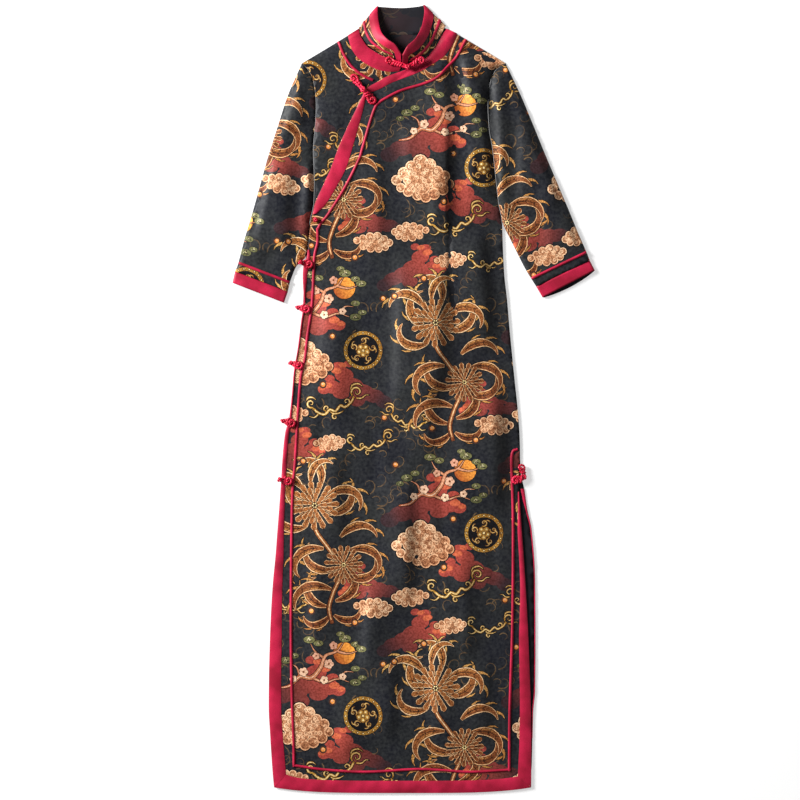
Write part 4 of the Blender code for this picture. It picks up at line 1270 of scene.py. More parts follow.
silk_reverse, tree, shader = new_material("wrong side of the charcoal silk", {
    "Roughness": 0.8, "Specular IOR Level": 0.2})
place = add_node(tree, "TexCoord")
drift = add_node(tree, "TexNoise", values={"Scale": 1000 / REVERSE_DRIFT, "Detail": 3.0},
                 links={"Vector": (place, "Object")})
dim = add_node(tree, "ValToRGB", links={"Fac": (drift, "Fac")},
               stops=((0.3, "#101116"), (0.7, "#1a1a20")))
ink = add_node(tree, "VertexColor", {"layer_name": "ink"})
shown_through = add_node(tree, "Mix", COLOURS, {FACTOR: SHOWN_THROUGH},
                         {COLOUR_A: (dim, "Color"), COLOUR_B: (ink, "Color")})
bare = add_node(tree, "Math", ABOVE, {1: BARE_FROM}, {0: (ink, "Alpha")})
reverse_tone = add_node(tree, "Mix", COLOURS, None,
                        {FACTOR: (bare, 0), COLOUR_A: (shown_through, MIXED), COLOUR_B: (dim, "Color")})
tree.links.new(reverse_tone.outputs[MIXED], shader.inputs["Base Color"])

# %% [markdown]
# The bands are silk satin, dyed crimson and woven with long floats that throw the light back, so
# the eye sees a strong clear red that is brighter where it faces the light. Cut on the bias, its
# threads show as a fine rib across. The frogs' cord is the same satin rolled round a core: it is
# stretched tight, so it shines more and is a little deeper in its hollows.

# %% Satin and cord
SATIN_DRIFT = 34
ACROSS_BIAS = (1.0, 3.0, 1.0)
SATIN_RELIEF = 0.08


def satin_material(name, dark, bright, roughness, rib):
    """Satin in two tones of dye. rib is its spacing in mm, far coarser than the real one."""
    material, tree, shader = new_material(name, {
        "Roughness": roughness, "Sheen Weight": 0.05, "Sheen Roughness": 0.35,
        "Sheen Tint": (*linear("#f05a7c"), 1), "Specular IOR Level": 0.2})
    place = add_node(tree, "TexCoord")
    on_cloth = {"Vector": (place, "Object")}
    drift = add_node(tree, "TexNoise", values={"Scale": 1000 / SATIN_DRIFT, "Detail": 2.0},
                     links=on_cloth)
    tone = add_node(tree, "ValToRGB", links={"Fac": (drift, "Fac")},
                    stops=((0.36, dark), (0.64, bright)))
    bias = add_node(tree, "Mapping", values={"Scale": ACROSS_BIAS}, links=on_cloth)
    threads = add_node(tree, "TexNoise", values={"Scale": 1000 / rib, "Detail": 1.0},
                       links={"Vector": (bias, "Vector")})
    fine = add_node(tree, "ValToRGB", links={"Fac": (threads, "Fac")},
                    stops=((0.3, "#d8c8cc"), (0.7, "#ffffff")))
    colour = add_node(tree, "Mix", MULTIPLIED, {FACTOR: 0.8},
                      {COLOUR_A: (tone, "Color"), COLOUR_B: (fine, "Color")})
    relief = add_node(tree, "Bump", values={"Strength": 0.5, "Distance": SATIN_RELIEF * MM},
                      links={"Height": (threads, "Fac")})
    tree.links.new(colour.outputs[MIXED], shader.inputs["Base Color"])
    tree.links.new(relief.outputs["Normal"], shader.inputs["Normal"])
    return material


crimson_satin = satin_material("crimson silk satin", "#9a1531", "#bf1f44", 0.5, 2.2)
crimson_cord = satin_material("crimson satin cord", "#b0122f", "#e42a4e", 0.32, 1.4)
SILK = [printed_silk, silk_reverse]

# %% [markdown]
# ## Panels
#
# The back, the under-front and the overlapping front are cut flat and lie in that order. A cloth
# simulation could drop them on the table, but it would move the cut edges off their bindings, so
# each panel is laid on a height function instead. The back shows its wrong side, and the front
# gets a finer net along its dart, which is narrower than the spacing of its points.

# %% Back, under-front and front
BACK_NET = 12.0
BACK_WALL = 1.1
FRONT_NET = 7.2
DART_STEP = 4.0
DART_ASIDE = (-7, -4, -1.8, 0, 1.8, 4, 7)


def box_print(outline, shift, turn=0.0):
    """The print that falls on a cut. shift and turn lay it as the cutter did."""
    return print_over(outline.min(0), outline.max(0), shift, turn)


neck_mist = place_motif(DRAWN["mist"], -4, 1280, 0.62)
back_cut = cut_along(back_outline, neck_mist, BACK_NET)
back_cloth = laid_cloth("back_panel_cloth", back_cut, neck_mist, back_top,
                        lowered(back_top, BACK_WALL), SILK, 1)
yoke_print = box_print(yoke_outline, (-120, 150))
yoke_cloth = laid_cloth("under_front_cloth", cut_along(yoke_outline, yoke_print), yoke_print, yoke_top,
                        lowered(yoke_top, WALL), SILK)
front_print = box_print(front_outline, (-230, 0))
dart_heights = np.arange(DART[-1, 1], DART[0, 1], DART_STEP)
dart_places = np.interp(dart_heights, DART[::-1, 1], DART[::-1, 0])
dart_net = np.concatenate([np.stack([dart_places + aside, dart_heights], 1) for aside in DART_ASIDE])
front_cut = cut_along(front_outline, front_print, FRONT_NET, dart_net)
front_cloth = laid_cloth("front_panel_cloth", front_cut, front_print, front_cloth_top,
                         lowered(front_top, WALL), SILK)
print("front: points", len(front_cut.points), "on its dart", len(dart_net))

# %% [markdown]
# ## Sleeves and cuffs
#
# A sleeve lies as a flattened tube. Its seamless outer edge and its underarm edge are soft
# rolls, and its two layers part a little towards the cuff. The folds are in the top layer only.
# The cut is doubled on itself, welded along its rim, and given its wall by a Solidify modifier.

# %% Sleeve edges
Edge = namedtuple("Edge", "outer_x outer_y inner_x inner_y")

RIGHT_SLEEVE = [Edge(*row) for row in (
    (-170, 1242, -156.5, 972), (-194, 1187, -158.8, 952), (-211, 1135, -161, 934),
    (-227, 1085, -163, 914), (-241, 1035, -173.5, 903.5), (-255, 985, -180.5, 895),
    (-267.5, 943, -186, 882), (-278, 903, -190.4, 869.4), (-283.6, 888, -194, 853.7),
    (-288, 869, -200.5, 835),
)]
LEFT_SLEEVE = [Edge(*row) for row in (
    (176, 1242, 170, 972), (202, 1187, 176, 959), (223, 1137, 183, 945), (243, 1088, 190, 931),
    (262, 1043, 197, 917), (281, 998, 204, 903), (300, 952, 211, 890), (313.5, 921, 219.5, 876),
    (319, 907, 228, 862.5), (327.6, 890.3, 238.9, 844),
)]
RIGHT_SLEEVE_FOLDS = [Fold(*row) for row in (
    (-158, 1090, -164, 918, 9, 5.0, 8), (-198, 1110, -206, 888, 26, 6.2, 16),
    (-180, 1232, -173, 1116, 22, 5.0, 10), (-218, 1090, -240, 940, 10, 4.0, 22),
    (-160, 960, -196, 1000, 8, -1.8), (-182, 950, -226, 962, 8, 1.9), (-196, 930, -240, 905, 8, -1.7),
    (-236, 985, -250, 895, 10, 3.0, 18), (-258, 960, -262, 905, 8, 1.4),
    (-196, 1180, -204, 1090, 9, 3.2, 16),
)]
LEFT_SLEEVE_FOLDS = [Fold(*row) for row in (
    (160, 1232, 170, 1106, 7, 5.0, 15), (168, 1150, 168, 988, 6, 6.0, 15),
    (208, 1170, 207, 980, 12, 5.8, 36), (240, 1120, 262, 980, 26, 4.6, 13),
    (238, 1040, 258, 910, 11, 4.0, 26), (196, 1214, 206, 1136, 10, 3.4, 20),
    (176, 968, 214, 1010, 8, -1.8), (196, 948, 244, 972, 8, 1.9), (212, 930, 262, 918, 8, -1.7),
    (280, 1000, 296, 912, 20, 3.6, 11),
)]
EDGE_ROLL = 4.5
SLEEVE_NET = 6.5
SLEEVE_UNDER_NET = 11.0


def ends_of(row):
    """The outer and the inner end of a line across a sleeve."""
    return np.array([row.outer_x, row.outer_y], float), np.array([row.inner_x, row.inner_y], float)


def polyline_distance(points, line):
    """How far each point lies from a line of points."""
    best = np.full(len(points), 1e9)
    for a, b in zip(line, line[1:]):
        along = b - a
        share = np.clip(((points - a) @ along) / (along @ along), 0, 1)
        best = np.minimum(best, np.linalg.norm(points - a - share[:, None] * along, axis=1))
    return best


def sleeve_lines(rows, armhole, side):
    """The outline of a sleeve between its armhole and its cuff seam, and its long edges."""
    outer = through([(row.outer_x, row.outer_y) for row in rows[:-1]], 12)
    inner = through([(row.inner_x, row.inner_y) for row in rows[:-1]], 6)
    heights = np.linspace(ARMHOLE_TOP, ARMHOLE_BOTTOM, 60)
    seam = np.stack([armhole(heights) + side * SEAM_HALF, heights], 1)
    outer[0], inner[0] = seam[0], seam[-1]
    cuff = np.linspace(outer[-1], inner[-1], 24)
    outline = np.concatenate([outer[:-1], cuff[:-1], inner[::-1][:-1], seam[::-1][:-1]])
    return outline if polygon_area(outline) > 0 else outline[::-1], outer, inner, seam


def rolled(from_edge):
    """How far a soft rolled edge has come up: 0 at its rim, 1 where the roll ends."""
    return np.sqrt(np.clip(1 - (1 - np.clip(from_edge / EDGE_ROLL, 0, 1)) ** 2, 0, 1))


print("sleeve rows:", len(RIGHT_SLEEVE), len(LEFT_SLEEVE))

# %% Sleeve cloth
def tube_layers(outer, inner, seam, folds, seed):
    """The heights of the upper and the under layer of a flattened sleeve."""
    def parts(x, y):
        points = np.stack([x, y], 1)
        edge = np.minimum(polyline_distance(points, outer), polyline_distance(points, inner))
        from_seam = polyline_distance(points, seam)
        height = 3.0 + 2.0 * smooth(from_seam / 12) + 1.8 * smooth(from_seam / 170)
        return edge, from_seam, height, rolled(edge)

    def upper(x, y):
        edge, from_seam, height, roll = parts(x, y)
        slack = fold_height(x, y, folds) + 0.35 * ripple(x, y, 45, seed)
        slack = slack + 0.14 * ripple(x, y, 20, seed + 1)
        dip = -1.0 * np.exp(-(from_seam / 2.4) ** 2)
        slack = slack * smooth((edge - 3) / 14) * smooth(from_seam / 8)
        laid = height / 2 + height / 2 * roll + slack + dip * roll
        return np.where(edge > 3, kept_above(laid, 1.9), laid)

    def lower(x, y):
        _, _, height, roll = parts(x, y)
        return height / 2 * (1 - roll)

    return upper, lower


def sleeve_cloth(name, rows, armhole, side, folds, print_shift, print_turn, seed):
    """A sleeve's cloth, the height of its upper layer, and its flat outline."""
    outline, outer, inner, seam = sleeve_lines(rows, armhole, side)
    layers = box_print(outline, print_shift, print_turn)
    cut = cut_along(outline, layers, SLEEVE_NET)
    upper, lower = tube_layers(outer, inner, seam, folds, seed)
    below, below_triangles, below_rim = under_cut(cut, SLEEVE_UNDER_NET)
    count = len(cut.points)
    top = np.column_stack([cut.points, upper(*cut.points.T)])
    bottom = np.column_stack([below, lower(*below.T)])
    faces = cut.triangles.tolist() + [[count + i for i in reversed(t)] for t in below_triangles]
    thing = new_piece(name, np.concatenate([top, bottom]), faces, SILK)
    colour_piece(thing, ink_colours(cut, layers))
    weld(thing)
    add_wall(thing, WALL)
    print(name, "outline, cm2:", round(abs(polygon_area(outline)) / 100))
    return thing, upper, outline


def weld(thing):
    """Joins the two layers of a sleeve where their rims meet."""
    rework(thing, lambda work: bmesh.ops.remove_doubles(work, verts=work.verts, dist=0.02 * MM))


def add_wall(thing, wall, offset=-1):
    """Gives a thin cloth its wall, with its wrong side in the second slot."""
    solid = thing.modifiers.new("wall", "SOLIDIFY")
    solid.thickness = wall * MM
    solid.offset = offset
    solid.material_offset = 1
    solid.material_offset_rim = 1
    return solid


right_sleeve, right_sleeve_top, right_sleeve_outline = sleeve_cloth(
    "sleeve_right_cloth", RIGHT_SLEEVE, back_left, -1, RIGHT_SLEEVE_FOLDS, (-458, 772), -14, 21)
left_sleeve, left_sleeve_top, left_sleeve_outline = sleeve_cloth(
    "sleeve_left_cloth", LEFT_SLEEVE, back_right, 1, LEFT_SLEEVE_FOLDS, (160, 560), 16, 31)

# %% [markdown]
# A cuff band is a strip of satin sewn round the end of the sleeve and folded in half, so it is a
# closed ring with a soft front. It is built as rings of points from the sleeve's end down.

# %% Cuff bands
CUFF_HALF = 2.7
CUFF_SWELL = 1.5
CUFF_WALL = 0.9
CUFF_AROUND = 96
CUFF_RINGS = 8
START_GAP = 0.05


def tube_faces(rings, around):
    """Quads between rings of points that follow each other along a tube or a strip."""
    return [
        [i * around + k, i * around + (k + 1) % around, (i + 1) * around + (k + 1) % around,
         (i + 1) * around + k]
        for i in range(rings - 1) for k in range(around)
    ]


def bowed(share):
    """The curve of a slipped back edge, from one side of the cuff to the other."""
    return np.sin(share * math.pi) ** 0.7


def cuff_band(name, rows, side, crest, back_slip=0.0):
    """A closed band of satin round the end of a sleeve. Its front swells to a crest at a share of its
    width. Where its back slips out below its front, the sleeve's dark inside shows."""
    start, end = ends_of(rows[-2]), ends_of(rows[-1])
    start = [a + (b - a) / np.linalg.norm(b - a) * START_GAP for a, b in zip(start, end)]
    down = end[0] + end[1] - start[0] - start[1]
    down /= np.linalg.norm(down)
    angles = np.arange(CUFF_AROUND) * 2 * math.pi / CUFF_AROUND
    across = 0.5 - 0.5 * np.cos(angles)
    sign = np.where(angles < math.pi, 1, -1)
    swell = CUFF_SWELL * smooth(np.minimum(across / crest, (1 - across) / (1 - crest)))
    rings = []
    for step in np.linspace(0, 1, CUFF_RINGS):
        a = start[0] + (end[0] - start[0]) * step
        b = start[1] + (end[1] - start[1]) * step
        roll = rolled(np.minimum(across, 1 - across) * np.linalg.norm(b - a))
        slip = back_slip * step ** 2 * bowed(across) * (sign < 0)
        spots = a + (b - a) * across[:, None] + down * slip[:, None]
        bow = (swell + 0.2 * np.sin(across * 9 + 1.3)) * np.where(sign > 0, 1, 0) * roll
        rings.append(np.column_stack([spots, CUFF_HALF + CUFF_HALF * sign * roll + bow]))
    faces = tube_faces(CUFF_RINGS, CUFF_AROUND)
    if side < 0:
        faces = [face[::-1] for face in faces]
    thing = new_piece(name, np.concatenate(rings), faces, [crimson_satin, silk_reverse])
    wall = add_wall(thing, CUFF_WALL)
    wall.material_offset_rim = 0
    share = np.linspace(0, 1, 13)[1:-1, None]
    edge = end[1] + (end[0] - end[1]) * share + down * back_slip / 2 * bowed(share)
    outline = np.concatenate([[start[0], start[1], end[1]], edge, [end[0]]])
    print(name, "outline, cm2:", round(abs(polygon_area(outline)) / 100, 1))
    return thing, outline


right_cuff, right_cuff_outline = cuff_band("cuff_band_right_satin", RIGHT_SLEEVE, -1, 0.24)
left_cuff, left_cuff_outline = cuff_band("cuff_band_left_satin", LEFT_SLEEVE, 1, 0.46, 6.0)

# %% [markdown]
# ## Satin bands and pipings
#
# Satin cut on the bias is folded and laid on the cloth. Every strip has a crowned face and thin
# rounded edges, follows the cloth below it, and is never quite even. A curve with a bevel would
# give a piping, but not a band whose width changes, so both are nets between two lines of points.

# %% Lay a strip
# Heights and widths in mm. A strip lies LIFT above the cloth, and STRIP_ROWS points cross it
LIFT = 0.35
TRIM = 1.3
PIPING_HIGH = 1.7
PIPING_WIDE = 4.6
STRIP_ROWS = 8
CROWN_POWER = 2.4

BAND_CREASES = [Fold(*row) for row in (
    (-16, 1207, 16, 1233, 2.2, -1.6), (-34, 1203, -8, 1220, 2.6, 0.7), (18, 1230, 36, 1240, 2.4, 0.7),
    (60, 1262, 82, 1282, 3, -0.6), (-84, 1268, -62, 1262, 3.5, 0.7), (-52, 1240, -44, 1258, 3, -0.6),
    (-92, 1140, -78, 1128, 3, -0.6), (-112, 1080, -96, 1062, 3.4, 0.7), (-20, 1232, -10, 1244, 3, 0.7),
    (104, 1308, 22, 1236, 4, 3.0, 19),
)]


def lay_strip(name, first, second, top, seed, over_first=0.0, thick=TRIM):
    """A closed strip between two lines of points, on a height function. over_first turns its
    first edge down over the edge of the cloth. A thick strip is stiffer and puffs less."""
    shares = 0.5 - 0.5 * np.cos(np.linspace(0, math.pi, STRIP_ROWS))
    points = []
    for share in shares:
        flat = first + (second - first) * share
        crown = 1 - np.abs(2 * share - 1) ** CROWN_POWER
        gathers = (0.5 + 0.7 * ripple(*flat.T, 95, seed + 7)) * ripple(*flat.T, 26, seed)
        slack = gathers + 0.16 * ripple(*flat.T, 8, seed + 1)
        puff = (slack + fold_height(*flat.T, BAND_CREASES)) * crown * min(1, 1.4 / thick)
        points.append(np.column_stack([flat, top(*flat.T) + LIFT + 0.1 + (thick - 0.1) * crown + puff]))
    for share in shares[::-1]:
        flat = first + (second - first) * share
        drop = over_first if share == 0 else 0
        points.append(np.column_stack([flat, top(*flat.T) + LIFT - 0.1 - drop]))
    return strip_piece(name, np.stack(points, 1))


def strip_piece(name, grid):
    """A piece of satin from rings of points along a strip, closed at both ends."""
    rings, around = grid.shape[:2]
    faces = tube_faces(rings, around)
    faces += [list(range(around))[::-1], [(rings - 1) * around + k for k in range(around)]]
    thing = new_piece(name, grid.reshape(-1, 3), faces, [crimson_satin])
    face_outwards(thing)
    print(name, "rings:", rings)
    return thing


def face_outwards(thing):
    """Turns all faces outwards, and keeps the folded edges sharp."""
    rework(thing, lambda work: bmesh.ops.recalc_face_normals(work, faces=work.faces))
    thing.data.set_sharp_from_angle(angle=math.radians(55))


def evenly(path, step):
    """Points at even steps along a path."""
    gaps = np.linalg.norm(np.diff(path, axis=0), axis=1)
    along = np.concatenate([[0], np.cumsum(gaps)])
    at = np.linspace(0, along[-1], max(2, round(along[-1] / step) + 1))
    return np.stack([np.interp(at, along, path[:, i]) for i in range(2)], 1)


def piping(name, stops, top, seed):
    path = evenly(through(stops, 8), 3.0)
    run = np.gradient(path, axis=0)
    run /= np.linalg.norm(run, axis=1, keepdims=True)
    aside = beside(run) * PIPING_WIDE / 2
    return lay_strip(name, path + aside, path - aside, top, seed, thick=PIPING_HIGH)

# %% Bands of the neck and the opening
Station = namedtuple("Station", "x1 y1 x2 y2")

NECK_BAND = [Station(*row) for row in (
    (-92.2, 1289.2, -73.6, 1300.8), (-88.9, 1276, -71, 1289), (-85, 1265, -66, 1280),
    (-76, 1252, -58.8, 1270), (-60, 1240, -46.5, 1261.5), (-41, 1231, -33.4, 1254.4),
    (-22, 1227.4, -18, 1248.4), (-5, 1228.2, 1.5, 1242.2),
)]
OPENING_BAND = [Station(*row) for row in (
    (75.6, 1300.6, 94, 1292.2), (67, 1288.4, 88, 1277), (61.6, 1277, 81, 1266),
    (52.8, 1264.5, 71, 1253.5), (43.2, 1253, 55, 1242), (27, 1242, 38, 1231), (13, 1235, 22, 1223.5),
    (1, 1229, 6, 1217.5), (-25, 1219.6, -18, 1208.5), (-42.6, 1209.6, -36, 1199),
    (-61, 1198.8, -56, 1190.2), (-66.8, 1187, -61.9, 1181), (-74.8, 1170, -64.7, 1168),
    (-93.3, 1132, -75.4, 1129), (-109.3, 1095, -85.5, 1094), (-120.3, 1065, -95, 1064),
    (-131.3, 1040, -107, 1040), (-147.6, 1004, -128.3, 1004), (-152, 985, -144, 987),
)]


def band(name, stations, top, seed, over=0.0):
    first = through([(s.x1, s.y1) for s in stations], 8)
    second = through([(s.x2, s.y2) for s in stations], 8)
    return lay_strip(name, first, second, top, seed, over)


neck_band = band("neck_band_satin", NECK_BAND, yoke_top, 41)
opening_band = band("opening_band_satin", OPENING_BAND, front_top, 42, 1.0)

# %% Bands along the side, the slit and the hem
Width = namedtuple("Width", "y width")

SIDE_WIDTHS = [Width(*row) for row in (
    (925, 3), (908, 6.5), (896, 8.5), (880, 7.2), (862, 5), (847, 3), (750, 2.2), (660, 2.6),
    (619, 6.5), (560, 7.2), (480, 9), (398, 13.5), (330, 17), (262, 19.5), (170, 20.5), (88, 21),
)]
SLIT_WIDTHS = [Width(*row) for row in (
    (514, 1.8), (480, 4), (445, 6.8), (405, 7.6), (364, 8.5), (310, 12), (262, 15.5), (200, 17),
    (141, 18.2), (80, 20),
)]
BACK_SLIT_WIDTHS = [Width(*row) for row in (
    (519, 6), (505, 5.6), (483, 2.8), (450, 1.8), (411, 1.6), (364, 1.5), (262, 1.5), (177, 1.5),
    (140, 1.5), (95, 1.3),
)]
HEM_WIDTH = 20.5
HEM_STEPS = 90
# The inner corners, where the mitres end
SIDE_CORNER = (-197, 33.6)
SLIT_CORNER = (196.6, 30.6)
BAND_STEP = 5
MITRE_STEPS = 16
# How far a band reaches out over the edge of its cloth, and turns down there
BAND_OVER = 0.4
TURN_DOWN = 1.1


def edge_band(name, edge, widths, direction, top, seed, corner=None):
    """A band on the edge of a panel, whose width changes with height, down to a mitred corner."""
    heights = np.linspace(widths[0].y, widths[-1].y, round((widths[0].y - widths[-1].y) / BAND_STEP) + 1)
    places = np.array([entry.y for entry in widths[::-1]], float)
    sizes = np.array([entry.width for entry in widths[::-1]], float)
    wide = read_through(places, sizes, np.zeros(len(sizes), bool), heights)
    outer = np.stack([edge(heights) - direction * BAND_OVER, heights], 1)
    inner = np.stack([edge(heights) + direction * wide, heights], 1)
    if corner:
        foot = FRONT_ROWS[-1].y
        down = np.linspace(heights[-1], foot, MITRE_STEPS)[1:]
        outer = np.concatenate([outer, np.stack([edge(down) - direction * BAND_OVER, down], 1)])
        inner = np.concatenate([inner, np.linspace(inner[-1], corner, MITRE_STEPS)[1:]])
    return lay_strip(name, outer, inner, top, seed, TURN_DOWN)


def hem_line(x):
    hem = FRONT_ROWS[-1]
    share = (x - hem.left) / (hem.right - hem.left)
    return hem.y - hem.sag * sagging(share)


side_band = edge_band("side_band_satin", front_left, SIDE_WIDTHS, 1, front_top, 43, SIDE_CORNER)
slit_band = edge_band("slit_band_satin", front_right, SLIT_WIDTHS, -1, front_top, 44, SLIT_CORNER)
back_slit_band = edge_band("back_slit_band_satin", back_right, BACK_SLIT_WIDTHS, -1, back_top, 45)
hem_outer_x = np.linspace(FRONT_ROWS[-1].left, FRONT_ROWS[-1].right, HEM_STEPS)
hem_inner_x = np.linspace(SIDE_CORNER[0], SLIT_CORNER[0], HEM_STEPS)
corner_rise = 4.6 * np.exp(-(hem_inner_x - SIDE_CORNER[0]) / 14)
corner_rise += 1.6 * np.exp((hem_inner_x - SLIT_CORNER[0]) / 14)
hem_inner_y = hem_line(hem_inner_x) + HEM_WIDTH + corner_rise
hem_inner_y[0], hem_inner_y[-1] = SIDE_CORNER[1], SLIT_CORNER[1]
hem_band = lay_strip("hem_band_satin", np.stack([hem_outer_x, hem_line(hem_outer_x) - BAND_OVER], 1),
                     np.stack([hem_inner_x, hem_inner_y], 1), front_top, 46, TURN_DOWN)

# %% Narrow pipings
OPENING_PIPING = [
    (109, 1282.6), (92.7, 1253), (78, 1236), (61, 1218), (39, 1207.5), (-1, 1195.5), (-29, 1181.5),
    (-39, 1175), (-45.4, 1167.5), (-54.4, 1142), (-67.5, 1096.5), (-73.4, 1078), (-97.4, 1030),
    (-125, 986), (-138, 970), (-142.8, 960),
]
SIDE_PIPING = [
    (-143.5, 962), (-143.5, 938), (-148.9, 912), (-151.3, 857), (-154.2, 822), (-161, 777),
    (-164.9, 741), (-171.7, 710), (-176, 660), (-181.6, 566), (-186, 513), (-188, 398), (-188.4, 262),
    (-186.7, 158), (-184, 88), (-183.6, 47),
]
HEM_PIPING = [(-185.8, 49.4), (-129, 41.5), (-59.5, 38), (22, 42.5), (66, 41), (117, 38), (184.4, 41.7)]
SLIT_PIPING = [
    (182.2, 39.6), (183, 141), (187, 262), (188.6, 364), (188.6, 480), (186.2, 573), (196.4, 586.6),
]
NECK_PIPING = [(-108, 1279), (-98.6, 1256), (-85, 1236), (-66.8, 1221.5), (-49.5, 1213)]

neck_piping = piping("neck_piping_satin", NECK_PIPING, yoke_top, 51)
opening_piping = piping("opening_piping_satin", OPENING_PIPING, front_top, 52)
side_piping = piping("side_piping_satin", SIDE_PIPING, front_top, 53)
hem_piping = piping("hem_piping_satin", HEM_PIPING, front_top, 54)
slit_piping = piping("slit_piping_satin", SLIT_PIPING, front_top, 55)


def cuff_piping(name, rows, top, seed):
    """A piping across the upper layer of a sleeve, a little above its end."""
    a, b = ends_of(rows[-3])
    inset = (b - a) / np.linalg.norm(b - a)
    stops = np.linspace(a + inset * 0.6, b - inset * 0.6, 9)
    return piping(name, stops, top, seed)


right_cuff_piping = cuff_piping("cuff_piping_right_satin", RIGHT_SLEEVE, right_sleeve_top, 56)
left_cuff_piping = cuff_piping("cuff_piping_left_satin", LEFT_SLEEVE, left_sleeve_top, 57)

# %% [markdown]
# ## Collar
#
# The stand collar is one strip that runs from the right front end, round the back and to the
# left front end. Its front halves stand, its back lies down flat. A Curve modifier could bend a
# flat strip, but not lean its foot and its top apart, so each point is worked out from how far
# round it is, in sections, how far up it is, and how far out of the middle of the wall.

# %% Collar shape
# Each section holds its foot (x, y, z), its top (x, y, z) and how far it swells out
COLLAR_SECTIONS = np.array([
    (-1.2, 1243.8, 4.2, -1.6, 1254.5, 22, 0.5), (-17, 1251, 4.0, -11.5, 1270, 25.5, 1.0),
    (-34, 1257.4, 3.8, -25, 1279.5, 24, 1.5), (-57, 1272.4, 3.8, -36, 1294, 16, 2.0),
    (-68, 1287.5, 4.4, -41, 1316, 9, 1.0), (-71.3, 1297.5, 4.4, -42, 1332, 6, 0.4),
    (-73, 1302.2, 2.6, -41.5, 1338, 3.2, 0), (-70, 1301.7, 0.7, -38.5, 1338.2, 0.7, 0),
    (-45, 1292.8, 0.7, -27, 1337.2, 0.7, 0), (0, 1290.4, 0.7, 0, 1336, 0.7, 0),
    (45, 1292.8, 0.7, 25, 1338, 0.7, 0), (70.5, 1303.6, 0.7, 35, 1340, 0.7, 0),
    (74, 1305.6, 2.6, 37.3, 1340.3, 3.2, 0), (71, 1300, 4.4, 38.3, 1334.5, 6, 0.4),
    (64, 1286, 4.4, 38, 1322, 9, 1.0), (53.5, 1267.5, 4.2, 33.5, 1301, 17, 2.0),
    (34.5, 1248.5, 4.6, 23.5, 1281, 24, 1.5), (16, 1238.5, 5.2, 9.5, 1268, 25.5, 1.0),
    (1.2, 1232.5, 5.4, 1.2, 1254, 22, 0.5),
])
COLLAR_WALL = 1.4
LAST_SECTION = len(COLLAR_SECTIONS) - 1


def section_at(place):
    """All measures of the collar at places between its sections, on a smooth curve."""
    place = np.clip(place, -0.06, LAST_SECTION + 0.06)
    i = np.clip(np.floor(place).astype(int), 0, LAST_SECTION - 1)
    t = (place - i)[:, None]
    rows = np.concatenate([2 * COLLAR_SECTIONS[:1] - COLLAR_SECTIONS[1:2], COLLAR_SECTIONS,
                           2 * COLLAR_SECTIONS[-1:] - COLLAR_SECTIONS[-2:-1]])
    a, b, c, d = rows[i], rows[i + 1], rows[i + 2], rows[i + 3]
    return along_curve(a, b, c, d, t)


def collar_middle(place, level):
    """Points in the middle of the collar's wall. level is 0 at its foot and 1 at its top."""
    rows = section_at(place)
    level = level[:, None]
    points = rows[:, :3] * (1 - level) + rows[:, 3:6] * level
    points[:, 2] += rows[:, 6] * np.sin(math.pi * np.clip(level[:, 0], 0, 1))
    return points


def collar_points(place, level, out=0.0):
    points = collar_middle(place, level)
    run = collar_middle(place + 0.1, level) - collar_middle(place - 0.1, level)
    above, below = np.minimum(level + 0.05, 1), np.maximum(level - 0.05, 0)
    rise = collar_middle(place, above) - collar_middle(place, below)
    outwards = np.cross(rise, run)
    outwards /= np.maximum(np.linalg.norm(outwards, axis=1, keepdims=True), 1e-9)
    points = points + outwards * np.asarray(out, float).reshape(-1, 1)
    points[:, 2] = np.maximum(points[:, 2], 0.05)
    return points


print("collar sections:", len(COLLAR_SECTIONS))

# %% Collar cloth
# The collar's cut is a plain strip, printed flat and then bent round. Its height is nominal
COLLAR_HIGH = 40
COLLAR_NET = 5.0
round_places = np.linspace(0, LAST_SECTION, 200)
round_points = collar_middle(round_places, np.full(200, 0.5))
round_length = np.concatenate([[0], np.cumsum(np.linalg.norm(np.diff(round_points, axis=0), axis=1))])
long_side = np.linspace(0, round_length[-1], 110)
collar_outline = np.concatenate([
    np.stack([long_side, np.zeros(110)], 1),
    np.stack([np.full(9, round_length[-1]), np.linspace(0, COLLAR_HIGH, 11)[1:-1]], 1),
    np.stack([long_side[::-1], np.full(110, float(COLLAR_HIGH))], 1),
    np.stack([np.zeros(9), np.linspace(COLLAR_HIGH, 0, 11)[1:-1]], 1),
])
collar_print = box_print(collar_outline, (-30, -330))
collar_cut = cut_along(collar_outline, collar_print, COLLAR_NET)
collar_at = (np.interp(collar_cut.points[:, 0], round_length, round_places),
             collar_cut.points[:, 1] / COLLAR_HIGH)
collar_faces = collar_cut.triangles[:, ::-1]
collar_cloth = new_piece("collar_cloth", collar_points(*collar_at), collar_faces.tolist(), SILK)
collar_inks = ink_colours(collar_cut, collar_print).reshape(-1, 3, 4)
colour_piece(collar_cloth, collar_inks[:, ::-1].reshape(-1, 4))
add_wall(collar_cloth, COLLAR_WALL, 0)
standing = collar_middle(round_places, np.ones(200)) - collar_middle(round_places, np.zeros(200))
collar_heights = np.linalg.norm(standing, axis=1)
collar_area = float(np.sum((collar_heights[1:] + collar_heights[:-1]) / 2 * np.diff(round_length)))
print("collar, mm: long", round(round_length[-1], 1), "high", round(collar_heights.min(), 1),
      "to", round(collar_heights.max(), 1))

# %% Collar binding and piping
Foot = namedtuple("Foot", "place low")

BINDING_FEET = [Foot(*row) for row in (
    (-0.04, 0.03), (0.2, 0.04), (0.5, 0.08), (0.85, 0.5), (1.1, 0.54), (4.9, 0.54), (6.1, 0.62),
)]


